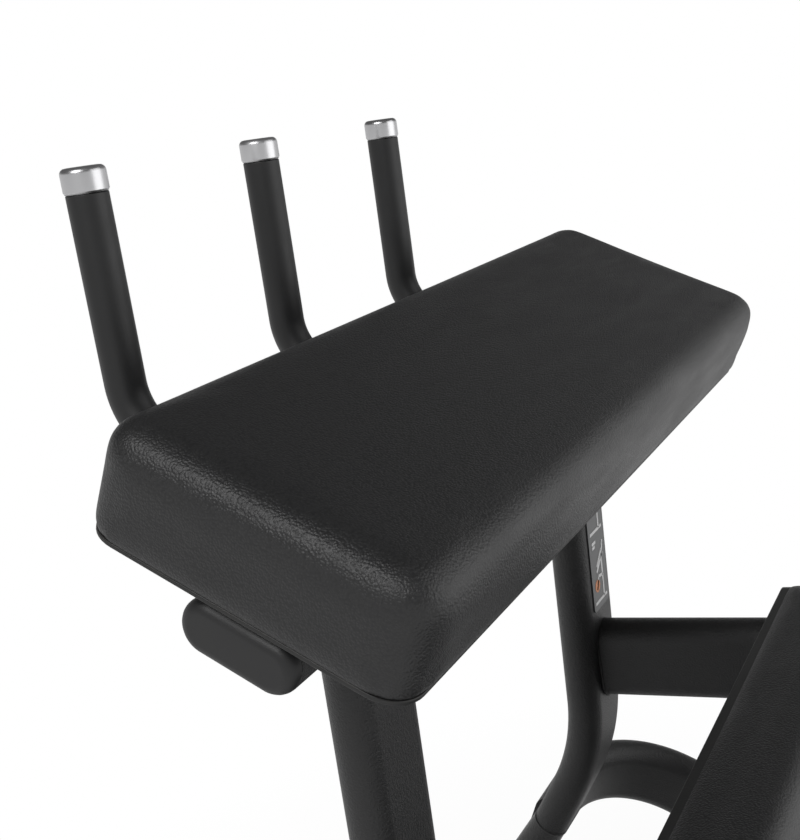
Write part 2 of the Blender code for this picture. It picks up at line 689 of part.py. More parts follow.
def make_platform(paint, rubber):
    """The folded sheet that the user stands on, over the middle and rear cross tubes, and its mat."""
    top = TUBE_TOP + GAP
    front = POST_Y - PLATFORM_FRONT_REACH
    rear_tube = POST_Y - REAR_REACH + REAR_TUBE_INSET
    back = rear_tube - TUBE_LONG / 2
    middle = Vector((0, (front + back) / 2, top + PLATFORM_SHEET / 2))
    sheet = box_object("foot_platform", (PLATFORM_WIDTH, front - back, PLATFORM_SHEET), middle, paint)
    skirt_back = rear_tube + TUBE_LONG / 2 + GAP
    depth = front - skirt_back
    height = PLATFORM_SKIRT + PLATFORM_SHEET / 2
    skirt = box_object(
        "platform_skirts",
        (PLATFORM_WIDTH, depth, height),
        Vector((0, front - depth / 2, top + PLATFORM_SHEET / 2 - height / 2)),
        None,
        CUTTERS_NAME,
    )
    inside = box_object(
        "inside_platform_skirts",
        (PLATFORM_WIDTH - 2 * PLATFORM_SHEET, depth, 2 * height),
        Vector((0, front - depth / 2 - PLATFORM_SHEET, top + PLATFORM_SHEET / 2 - height / 2)),
        None,
        CUTTERS_NAME,
    )
    notch = box_object(
        "space_for_spine",
        (TUBE_LONG + 2 * NOTCH_GAP, 4 * PLATFORM_SHEET, 4 * PLATFORM_SKIRT),
        Vector((0, front, top)),
        None,
        CUTTERS_NAME,
    )
    boolean(skirt, inside)
    boolean(skirt, notch)
    boolean(sheet, skirt, "UNION")
    size = (PLATFORM_WIDTH - 2 * MAT_MARGIN, front - back - 2 * MAT_MARGIN)
    place = Matrix.Translation((0, middle.y, top + PLATFORM_SHEET + GAP))
    mat = plate("platform_mat", rounded_rectangle(*size, MAT_CORNER), place, MAT_THICKNESS, rubber)
    round_over(mat, MAT_THICKNESS / 4, 1)


def pad_board(name, length, width, corner, place, thickness, material):
    outline = rounded_rectangle(length - 2 * BOARD_MARGIN, width - 2 * BOARD_MARGIN, corner - BOARD_MARGIN)
    board = plate(name, outline, place, thickness, material)
    round_over(board, BOARD_ROUNDING, 1)
    return board


def make_belly_pad(paint, plastic, board_material, vinyl):
    """The tube across the posts' tops, its caps, and the pad on it."""
    length = BELLY_LENGTH - 2 * (CROSS_TUBE_END_INSET + CAP_THICKNESS + GAP)
    start = CROSS_TUBE - X_AXIS * length / 2
    frame_tube("upper_cross_tube", Route(start, X_AXIS, PAD_FORWARD, (Run(length),)), paint)
    for word, side in SIDES:
        end = CROSS_TUBE + X_AXIS * side * length / 2
        oval_cap(f"{word}_upper_cap", end, X_AXIS * side, PAD_FORWARD, plastic)
    turn = Matrix((X_AXIS, PAD_FORWARD, PAD_UP)).transposed().to_4x4()
    on_tube = Matrix.Translation(CROSS_TUBE + PAD_UP * (TUBE_SHORT / 2 + GAP)) @ turn
    outline = rounded_rectangle(MOUNT_LENGTH, MOUNT_WIDTH, MOUNT_CORNER, 2)
    plate("belly_pad_mount", outline, on_tube, MOUNT_THICKNESS, paint)
    under = Matrix.Translation(PAD_UP * (MOUNT_THICKNESS + GAP) + PAD_FORWARD * BELLY_SHIFT) @ on_tube
    size = (BELLY_LENGTH, BELLY_WIDTH, BELLY_CORNER)
    pad_board("belly_pad_board", *size, under, BELLY_BACK_THICKNESS, board_material)
    over = Matrix.Translation(PAD_UP * (BELLY_BACK_THICKNESS + GAP)) @ under
    size = (BELLY_LENGTH, BELLY_WIDTH, BELLY_THICKNESS)
    cushion("belly_pad_cushion", size, BELLY_CORNER, BELLY_EDGE_ROUND, over, vinyl)


def handle_route(x, tail, top):
    """From beside the cross tube, level with the pad, and up into the handle."""
    foot = CROSS_TUBE + PAD_FORWARD * TUBE_LONG / 2
    reach = POST_Y + HANDLE_REACH - foot.y
    turn = math.pi / 2 - BELLY_TILT
    tangent = HANDLE_BEND_RADIUS * math.tan(turn / 2)
    corner = foot + PAD_FORWARD * reach / PAD_FORWARD.y
    start = corner - PAD_FORWARD * (tangent + tail)
    stretches = (Run(tail), Bend(turn, HANDLE_BEND_RADIUS, PAD_UP), Run(top - corner.z - tangent))
    return Route(Vector((x, start.y, start.z)), PAD_FORWARD, PAD_UP.cross(PAD_FORWARD), stretches)


def make_handles(paint, rubber, chrome):
    """Three upright handles: a bent bar from the cross tube's edge, its rubber grip and its cap."""
    bar_diameter = GRIP_DIAMETER - 2 * GRIP_WALL - 2 * GAP
    grip_top = HANDLE_TOP - HANDLE_CAP_HEIGHT
    bar_tail = (HANDLE_REACH + CROSS_TUBE_SETBACK) / PAD_FORWARD.y - TUBE_LONG / 2
    bar_tail -= HANDLE_BEND_RADIUS * math.tan((math.pi / 2 - BELLY_TILT) / 2)
    across = bpy.data.objects["space_for_upper_cross_tube"]
    for word, step in (("left", -1), ("middle", 0), ("right", 1)):
        x = step * HANDLE_SPACING
        bar = hollow_tube(
            f"{word}_handle_bar",
            bar_diameter,
            handle_route(x, bar_tail + TUBE_SHORT / 4, grip_top),
            BAR_WALL,
            paint,
        )
        boolean(bar, across)
        hollow_tube(
            f"{word}_handle_grip",
            GRIP_DIAMETER,
            handle_route(x, GRIP_TAIL, grip_top),
            GRIP_WALL,
            rubber,
        )
        make_handle_cap(f"{word}_handle_cap", x, grip_top, bar_diameter, chrome)


def make_handle_cap(name, x, low, bar_diameter, chrome):
    """A chromed cap over the grip's end, with a spigot in the bar."""
    wide = GRIP_DIAMETER / 2 + HANDLE_CAP_OVERHANG
    spigot = bar_diameter / 2 - BAR_WALL - RUNNING_GAP
    high = HANDLE_CAP_HEIGHT
    profile = [
        (0, high),
        (wide - 0.006, high),
        (wide - 0.0022, high - 0.0012),
        (wide, high - 0.0045),
        (wide, 0.0025),
        (wide - 0.0008, 0.0018),
        (wide - 0.0008, GAP),
        (spigot, GAP),
        (spigot, -HANDLE_CAP_SPIGOT),
        (0, -HANDLE_CAP_SPIGOT),
    ]
    turned(name, profile, Vector((x, POST_Y + HANDLE_REACH, low)), Z_AXIS, chrome)


def make_thigh_pad(paint, board_material, vinyl):
    """The tubes on edge from the posts, and the pad on their ends."""
    run = THIGH_TUBE_REACH - GAP
    for word, side in SIDES:
        start = THIGH_ROOT + X_AXIS * side * POST_SPACING / 2
        extra = TUBE_LONG * math.tan(THIGH_TUBE_RISE)
        route = Route(start - THIGH_OUT * extra, THIGH_OUT, THIGH_UP, (Run(run + extra),))
        tube = frame_tube(f"{word}_thigh_tube", route, paint)
        slice_off(tube, f"behind_{word}_thigh_tube", start - Y_AXIS * GAP, Y_AXIS)
    turn = Matrix((X_AXIS, THIGH_UP, THIGH_OUT)).transposed().to_4x4()
    place = Matrix.Translation(THIGH_PAD_FOOT + THIGH_UP * THIGH_PAD_HEIGHT / 2) @ turn
    size = (THIGH_PAD_LENGTH, THIGH_PAD_HEIGHT, THIGH_PAD_CORNER)
    pad_board("thigh_pad_board", *size, place, BOARD_THICKNESS, board_material)
    over = Matrix.Translation(THIGH_OUT * (BOARD_THICKNESS + GAP)) @ place
    size = (THIGH_PAD_LENGTH, THIGH_PAD_HEIGHT, THIGH_PAD_THICKNESS)
    cushion("thigh_pad_cushion", size, THIGH_PAD_CORNER, THIGH_EDGE_ROUND, over, vinyl)


def buffer_place():
    """The rubber buffer's middle, where the side plate's front edge rests on it."""
    down_lever = KNEE - LEVER_TUBE
    lean = math.atan2(down_lever.y, down_lever.z)
    spread = math.asin((LEVER_END_RADIUS - LEVER_HUB_RADIUS) / down_lever.length)
    edge_lean = lean - spread
    reach = LEVER_HUB_RADIUS + BUFFER_RADIUS + GAP
    offset = reach / math.cos(edge_lean) - BUFFER_DROP * math.tan(edge_lean)
    return KNEE + Vector((0, offset, -BUFFER_DROP))


def make_pivot(paint, steel, rubber):
    """Plates on the thigh tubes that carry the knee bearings, with the buffers that stop the lever."""
    tube_low = THIGH_TUBE_HEIGHT - TUBE_LONG / 2
    top = tube_low + PLATE_UP_TUBE
    rear = THIGH_ROOT.y - PLATE_REAR_REACH
    near = THIGH_ROOT.y - THIGH_TUBE_REACH + PLATE_BEHIND_BOARD
    under_pad = THIGH_PAD_FOOT.z - PLATE_UNDER_PAD
    stop = buffer_place()
    heel, corner = PLATE_HEEL_RADIUS, PLATE_CORNER
    outline = link_outline(
        [
            (Vector((KNEE.y, KNEE.z)), LEVER_HUB_RADIUS),
            (Vector((stop.y, stop.z)), BUFFER_RADIUS + BUFFER_MARGIN),
            (Vector((rear - heel, under_pad + corner)), heel),
            (Vector((rear - corner, top - corner)), corner),
            (Vector((near + corner, top - corner)), corner),
            (Vector((near, under_pad)), GAP),
        ]
    )
    for word, side in SIDES:
        turn = Matrix((Y_AXIS, Z_AXIS, X_AXIS)).transposed().to_4x4()
        low_x = PIVOT_PLATE_X if side > 0 else -PIVOT_PLATE_X - PIVOT_PLATE
        flat = Matrix.Translation((low_x, 0, 0)) @ turn
        bracket = plate(f"{word}_pivot_plate", outline, flat, PIVOT_PLATE, paint)
        place = Vector((side * HOUSING_X, KNEE.y, KNEE.z))
        out = X_AXIS * side
        tube = cylinder_profile(HOUSING_RADIUS, 0, HOUSING_LENGTH)
        housing = turned(f"{word}_housing", tube, place, out, None, CUTTERS_NAME)
        boolean(bracket, housing, "UNION")
        bore = cylinder_profile(BEARING_RADIUS + RUNNING_GAP, -CUT_PAST, HOUSING_LENGTH + CUT_PAST)
        boolean(bracket, turned(f"{word}_housing_bore", bore, place, out, None, CUTTERS_NAME))
        make_bearing(f"{word}_pivot_bearing", place, out, steel)
        pin = cylinder_profile(BUFFER_RADIUS, 0, PIVOT_PLATE_X - LEVER_X + LEVER_PLATE - GAP)
        buffer_x = side * (LEVER_X - LEVER_PLATE)
        turned(f"{word}_stop_buffer", pin, Vector((buffer_x, stop.y, stop.z)), out, rubber)


def make_bearing(name, place, out, steel):
    """A bearing cartridge, with the step between its two rings on each face."""
    low, high = 0.001, HOUSING_LENGTH - 0.001
    mid_inner, mid_outer = SHAFT_RADIUS + 0.004, BEARING_RADIUS - 0.004
    sunk = 0.0012
    profile = [
        (BORE_RADIUS, high),
        (mid_inner, high),
        (mid_inner, high - sunk),
        (mid_outer, high - sunk),
        (mid_outer, high),
        (BEARING_RADIUS, high),
        (BEARING_RADIUS, low),
        (mid_outer, low),
        (mid_outer, low + sunk),
        (mid_inner, low + sunk),
        (mid_inner, low),
        (BORE_RADIUS, low),
        (BORE_RADIUS, high),
    ]
    turned(name, profile, place, out, steel)


def make_lever(paint, steel, chrome):
    """Side plates that hang from the knee shafts, the tube between them, its sleeve and the weight horns."""
    outline = link_outline(
        [
            (Vector((KNEE.y, KNEE.z)), LEVER_HUB_RADIUS),
            (Vector((LEVER_TUBE.y, LEVER_TUBE.z)), LEVER_END_RADIUS),
        ]
    )
    turn = Matrix((Y_AXIS, Z_AXIS, X_AXIS)).transposed().to_4x4()
    for word, side in SIDES:
        low_x = LEVER_X - LEVER_PLATE if side > 0 else -LEVER_X
        flat = Matrix.Translation((low_x, 0, 0)) @ turn
        arm = plate(f"{word}_lever_plate", outline, flat, LEVER_PLATE, paint)
        out = X_AXIS * side
        hub = Vector((side * (LEVER_X - LEVER_PLATE), KNEE.y, KNEE.z))
        bore = cylinder_profile(BORE_RADIUS, -CUT_PAST, LEVER_PLATE + CUT_PAST)
        boolean(arm, turned(f"{word}_lever_bore", bore, hub, out, None, CUTTERS_NAME))
        move_origin(arm, KNEE)
        end = LEVER_PLATE + HUB_SIDE_GAP + HOUSING_LENGTH
        shaft = [
            (0, end),
            (SHAFT_RADIUS - 0.0015, end),
            (SHAFT_RADIUS, end - 0.0015),
            (SHAFT_RADIUS, -GAP),
            (SHAFT_HEAD_RADIUS, -GAP),
            (SHAFT_HEAD_RADIUS, -SHAFT_HEAD * 0.6),
            (SHAFT_HEAD_RADIUS - 0.003, -SHAFT_HEAD),
            (0, -SHAFT_HEAD),
        ]
        turned(f"{word}_knee_shaft", shaft, hub, out, steel)
        make_horn(f"{word}_weight_horn", LEVER_TUBE + out * (LEVER_X + GAP), out, chrome)
    inner = LEVER_X - LEVER_PLATE - GAP
    tube = frame_tube("lever_cross_tube", flat_route(2 * inner, LEVER_TUBE.y, LEVER_TUBE.z), paint)
    outside = STEM_SIDE + 2 * (SLIDING_GAP + SLEEVE_WALL)
    length = SLEEVE_ABOVE + SLEEVE_BELOW
    middle = LEVER_TUBE + Z_AXIS * (SLEEVE_ABOVE - SLEEVE_BELOW) / 2
    clear = outside + 2 * GAP
    boolean(tube, box_object("space_for_sleeve", (clear, clear, length), middle, None, CUTTERS_NAME))
    sleeve = box_object("lever_sleeve", (outside, outside, length), middle, paint)
    boss_place = LEVER_TUBE + Vector((0, -outside / 2, -LOCK_DROP))
    boss = cylinder_profile(LOCK_BOSS_RADIUS, -SLEEVE_WALL / 2, LOCK_BOSS)
    boolean(sleeve, turned("lock_boss", boss, boss_place, -Y_AXIS, None, CUTTERS_NAME), "UNION")
    inside = STEM_SIDE + 2 * SLIDING_GAP
    through = (inside, inside, length + 2 * CUT_PAST)
    boolean(sleeve, box_object("inside_sleeve", through, middle, None, CUTTERS_NAME))
    screw_hole = cylinder_profile(LOCK_SCREW_RADIUS + RUNNING_GAP, -CUT_PAST, LOCK_BOSS + CUT_PAST)
    boolean(sleeve, turned("lock_screw_hole", screw_hole, boss_place, -Y_AXIS, None, CUTTERS_NAME))
    for name in ("lever_cross_tube", "lever_sleeve"):
        move_origin(bpy.data.objects[name], KNEE)
    return boss_place


def make_horn(name, place, out, chrome):
    """A sleeve for weight plates, with the flange that they rest against."""
    end = HORN_FLANGE + HORN_LENGTH
    profile = [
        (0, end),
        (HORN_RADIUS - 0.006, end),
        (HORN_RADIUS - 0.0015, end - 0.002),
        (HORN_RADIUS, end - 0.007),
        (HORN_RADIUS, HORN_FLANGE),
        (HORN_FLANGE_RADIUS - 0.0015, HORN_FLANGE),
        (HORN_FLANGE_RADIUS, HORN_FLANGE - 0.0015),
        (HORN_FLANGE_RADIUS, 0),
        (0, 0),
    ]
    turned(name, profile, place, out, chrome)


def make_lock_knob(boss_place, plastic):
    """A lobed knob whose screw passes the boss and stands in the stem's slot."""
    steps = KNOB_LOBES * 4
    turn = [2 * math.pi * i / steps for i in range(steps)]
    radii = [KNOB_RADIUS - KNOB_LOBE_HEIGHT * (1 - math.cos(KNOB_LOBES * a)) / 2 for a in turn]
    outline = [(r * math.cos(a), r * math.sin(a)) for r, a in zip(radii, turn)]
    side = Matrix((X_AXIS, Z_AXIS, -Y_AXIS)).transposed().to_4x4()
    place = Matrix.Translation(boss_place - Y_AXIS * (LOCK_BOSS + RUNNING_GAP)) @ side
    knob = plate("lock_knob", outline, place, KNOB_THICKNESS, plastic)
    round_over(knob, 0.003, 2)
    depth = LOCK_BOSS + SLEEVE_WALL + SLIDING_GAP + STEM_WALL
    screw = cylinder_profile(LOCK_SCREW_RADIUS, -depth, KNOB_THICKNESS / 2)
    screw_place = boss_place - Y_AXIS * LOCK_BOSS
    boolean(knob, turned("lock_screw", screw, screw_place, -Y_AXIS, None, CUTTERS_NAME, 12), "UNION")
    move_origin(knob, boss_place)


def make_roller_carriage(boss_place, paint, steel, foam):
    """The square stem that slides in the sleeve, the axle through its lower end and the two rollers."""
    low, high = AXLE.z - STEM_BELOW_AXLE, AXLE.z + STEM_ABOVE_AXLE
    middle = Vector((0, AXLE.y, (low + high) / 2))
    stem = box_object("roller_stem", (STEM_SIDE, STEM_SIDE, high - low), middle, paint)
    bore = STEM_SIDE - 2 * STEM_WALL
    through = (bore, bore, high - low + 2 * CUT_PAST)
    boolean(stem, box_object("inside_stem", through, middle, None, CUTTERS_NAME))
    hole = cylinder_profile(BORE_RADIUS, -STEM_SIDE, STEM_SIDE)
    boolean(stem, turned("axle_hole", hole, AXLE, X_AXIS, None, CUTTERS_NAME))
    slot_wide = 2 * (LOCK_SCREW_RADIUS + RUNNING_GAP)
    slot = box_object(
        "stem_slot",
        (slot_wide, 4 * STEM_WALL, STEM_TRAVEL + slot_wide),
        Vector((0, AXLE.y - STEM_SIDE / 2 - STEM_WALL, boss_place.z - STEM_TRAVEL / 2)),
        None,
        CUTTERS_NAME,
    )
    boolean(stem, slot)
    move_origin(stem, AXLE)
    inner = STEM_SIDE / 2 + ROLLER_SIDE_GAP
    end = inner + ROLLER_LENGTH + ROLLER_SIDE_GAP
    tip = end + 2 * AXLE_WASHER
    axle = [
        (0, tip),
        (SHAFT_RADIUS, tip),
        (SHAFT_RADIUS, end + AXLE_WASHER),
        (AXLE_WASHER_RADIUS, end + AXLE_WASHER),
        (AXLE_WASHER_RADIUS, end),
        (SHAFT_RADIUS, end),
    ]
    turned("roller_axle", axle + [(r, -h) for r, h in reversed(axle)], AXLE, X_AXIS, steel)
    long, wide, edge = ROLLER_LENGTH, ROLLER_RADIUS, ROLLER_EDGE
    arc = [math.pi / 2 * i / 3 for i in range(4)]
    rim = [(wide - edge + edge * math.sin(a), long - edge + edge * math.cos(a)) for a in arc]
    roller = [(BORE_RADIUS, long)] + rim + [(r, long + ROLLER_NECK - h) for r, h in reversed(rim)]
    roller += [(ROLLER_NECK_RADIUS, ROLLER_NECK), (ROLLER_NECK_RADIUS, 0)]
    roller += [(BORE_RADIUS, 0), (BORE_RADIUS, long)]
    for word, side in SIDES:
        turned(f"{word}_roller", roller, AXLE + X_AXIS * side * inner, X_AXIS * side, foam)


def make_placard(material):
    """A thin plate on the right post's user side."""
    room = CROSS_TUBE_HEIGHT - THIGH_TUBE_HEIGHT
    low, high = (THIGH_TUBE_HEIGHT + share * room for share in (PLACARD_FROM, PLACARD_TO))
    centre = Vector((POST_SPACING / 2, THIGH_ROOT.y - GAP, (low + high) / 2))
    turn = Matrix((X_AXIS, Z_AXIS, -Y_AXIS)).transposed().to_4x4()
    outline = rounded_rectangle(PLACARD_WIDTH, high - low, PLACARD_CORNER, 2)
    plate("placard_plate", outline, Matrix.Translation(centre) @ turn, PLACARD_THICKNESS, material)


def main():
    for obj in list(bpy.data.objects):
        bpy.data.objects.remove(obj)
    for name in (MODEL_NAME, CUTTERS_NAME):
        bpy.context.scene.collection.children.link(bpy.data.collections.new(name))
    paint = make_material("frame_paint", (0.030, 0.030, 0.031), 0.45)
    plastic = make_material("black_plastic", (0.022, 0.022, 0.022), 0.5)
    rubber = make_material("black_rubber", (0.018, 0.018, 0.018), 0.6)
    vinyl = make_material("black_vinyl", (0.024, 0.024, 0.024), 0.55)
    board_material = make_material("board_paint", (0.012, 0.012, 0.012), 0.6)
    chrome = make_material("chrome", (0.75, 0.76, 0.77), 0.15, 1.0)
    steel = make_material("bright_steel", (0.55, 0.56, 0.57), 0.3, 1.0)
    placard = make_material("placard", (0.20, 0.20, 0.20), 0.5)

    make_posts(paint)
    make_base(paint, plastic, rubber)
    make_platform(paint, rubber)
    make_belly_pad(paint, plastic, board_material, vinyl)
    make_handles(paint, rubber, chrome)
    make_thigh_pad(paint, board_material, vinyl)
    make_pivot(paint, steel, rubber)
    boss_place = make_lever(paint, steel, chrome)
    make_lock_knob(boss_place, plastic)
    make_roller_carriage(boss_place, paint, steel, vinyl)
    make_placard(placard)


main()
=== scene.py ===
"""Looks of a standing hamstring machine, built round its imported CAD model.

The CAD model gives each piece its place and size. This script makes the pieces again with their rounded
edges, welds, fasteners, padding and finishes, and sets up the studio and the camera. Everything is in metres.
"""

import logging
import math
from contextlib import contextmanager
from dataclasses import dataclass
from enum import Enum
from functools import partial
from typing import Callable, ClassVar, Iterator

import bmesh
import bpy
from mathutils import Matrix, Vector, noise


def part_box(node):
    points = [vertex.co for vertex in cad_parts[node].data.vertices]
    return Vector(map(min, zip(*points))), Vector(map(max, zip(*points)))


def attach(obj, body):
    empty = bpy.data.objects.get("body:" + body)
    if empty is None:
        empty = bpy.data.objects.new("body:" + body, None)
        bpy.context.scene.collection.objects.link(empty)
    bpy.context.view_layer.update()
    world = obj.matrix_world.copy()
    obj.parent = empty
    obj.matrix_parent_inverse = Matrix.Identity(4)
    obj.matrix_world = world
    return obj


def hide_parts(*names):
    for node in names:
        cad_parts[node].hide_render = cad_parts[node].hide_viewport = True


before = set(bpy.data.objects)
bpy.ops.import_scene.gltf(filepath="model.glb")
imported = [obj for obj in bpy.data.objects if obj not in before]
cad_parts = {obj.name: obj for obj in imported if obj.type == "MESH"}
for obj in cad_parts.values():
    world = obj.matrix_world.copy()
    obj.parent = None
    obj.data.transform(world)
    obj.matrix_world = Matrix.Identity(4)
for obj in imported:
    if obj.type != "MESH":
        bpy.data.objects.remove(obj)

log = logging.getLogger("hamstring_machine")

X_AXIS, Y_AXIS, Z_AXIS = Vector((1, 0, 0)), Vector((0, 1, 0)), Vector((0, 0, 1))
SIDES = (("left", -1), ("right", 1))
# Points closer than this are one point.
MERGE = 0.00002
# The air between pieces that lie on each other, as in the CAD source.
GAP = 0.0003
# Faces that meet at more than this, in radians, make a real corner.
CORNER_ANGLE = 1.0
# The radius of the holes that the pins and the axle run in.
BORE = 0.0131
# The rounding of a tube's cut ends.
TUBE_EDGE = 0.0006


class Body(Enum):
    """The CAD bodies that pieces ride on."""

    FRAME = "frame"
    LEVER = "lever"
    LOCK = "lock"
    CARRIAGE = "carriage"
    LEFT_ROLLER = "left_roller_body"
    RIGHT_ROLLER = "right_roller_body"


class Slot(Enum):
    """The record's material slots."""

    PAINT = "frame_paint"
    PLASTIC = "black_plastic"
    RUBBER = "black_rubber"
    GRIP = "grip_rubber"
    CHROME = "chrome"
    STEEL = "bright_steel"
    VINYL = "black_vinyl"
    BOARD = "board_paint"
    FOAM = "roller_foam"
    PLACARD = "placard"


class Graph:
    """A node tree that nodes are added to in one call each."""

    def __init__(self, tree: bpy.types.NodeTree) -> None:
        """Keeps the tree.

        Args:
            tree: The node tree to fill.
        """
        self.tree = tree

    def add(self, kind: str, settings: dict | None = None, **inputs: object) -> bpy.types.Node:
        """Adds a node.

        Args:
            kind: The node's type, without the ShaderNode prefix.
            settings: Values of the node's own properties.
            **inputs: Values or output sockets for its inputs. An underscore stands for a space.

        Returns:
            The new node.
        """
        node = self.tree.nodes.new(kind if kind.startswith("Node") else f"ShaderNode{kind}")
        for key, value in (settings or {}).items():
            setattr(node, key, value)
        for key, value in inputs.items():
            self.put(node, key.replace("_", " "), value)
        return node

    def put(self, node: bpy.types.Node, name: str, value: object) -> None:
        """Sets or links one input.

        Args:
            node: The node.
            name: The input's name, or its number as text.
            value: A plain value, or the output socket to link.
        """
        socket = node.inputs[int(name)] if name.isdigit() else node.inputs[name]
        if isinstance(value, bpy.types.NodeSocket):
            self.tree.links.new(value, socket)
        else:
            socket.default_value = value

    def math(self, operation: str, first: object, second: object) -> bpy.types.NodeSocket:
        """Adds a Math node.

        Args:
            operation: What it does.
            first: Its first value or socket.
            second: Its second value or socket.

        Returns:
            The result's socket.
        """
        node = self.add("Math", {"operation": operation})
        self.put(node, "0", first)
        self.put(node, "1", second)
        return node.outputs[0]

    def vector(self, operation: str, first: object, second: object) -> bpy.types.Node:
        """Adds a Vector Math node.

        Args:
            operation: What it does.
            first: Its first vector or socket.
            second: Its second.

        Returns:
            The node.
        """
        node = self.add("VectorMath", {"operation": operation})
        self.put(node, "0", first)
        self.put(node, "1", second)
        return node

    def bump(self, depth: float, height: bpy.types.NodeSocket) -> bpy.types.Node:
        """Adds a Bump node of full strength.

        Args:
            depth: How deep the relief is.
            height: The relief's socket.

        Returns:
            The node.
        """
        return self.add("Bump", Strength=1.0, Distance=depth, Height=height)

    def blend(self, share: object, first: tuple, second: tuple) -> bpy.types.NodeSocket:
        """Mixes two colours.

        Args:
            share: How much of the second colour there is.
            first: The first colour or socket.
            second: The second colour or socket.

        Returns:
            The mixed colour's socket.
        """
        node = self.add("Mix", {"data_type": "RGBA"})
        self.put(node, "0", share)
        self.put(node, "6", first)
        self.put(node, "7", second)
        return node.outputs[2]

    def spread(
        self, value: object, low: float, high: float, to_low: float, to_high: float
    ) -> bpy.types.NodeSocket:
        """Maps a range of values to another, and holds it at the ends.

        Args:
            value: The socket to map.
            low: The value that becomes to_low.
            high: The value that becomes to_high.
            to_low: The result's start.
            to_high: The result's end.

        Returns:
            The result's socket.
        """
        node = self.add("MapRange", {"clamp": True})
        for number, each in enumerate((value, low, high, to_low, to_high)):
            self.put(node, str(number), each)
        return node.outputs[0]


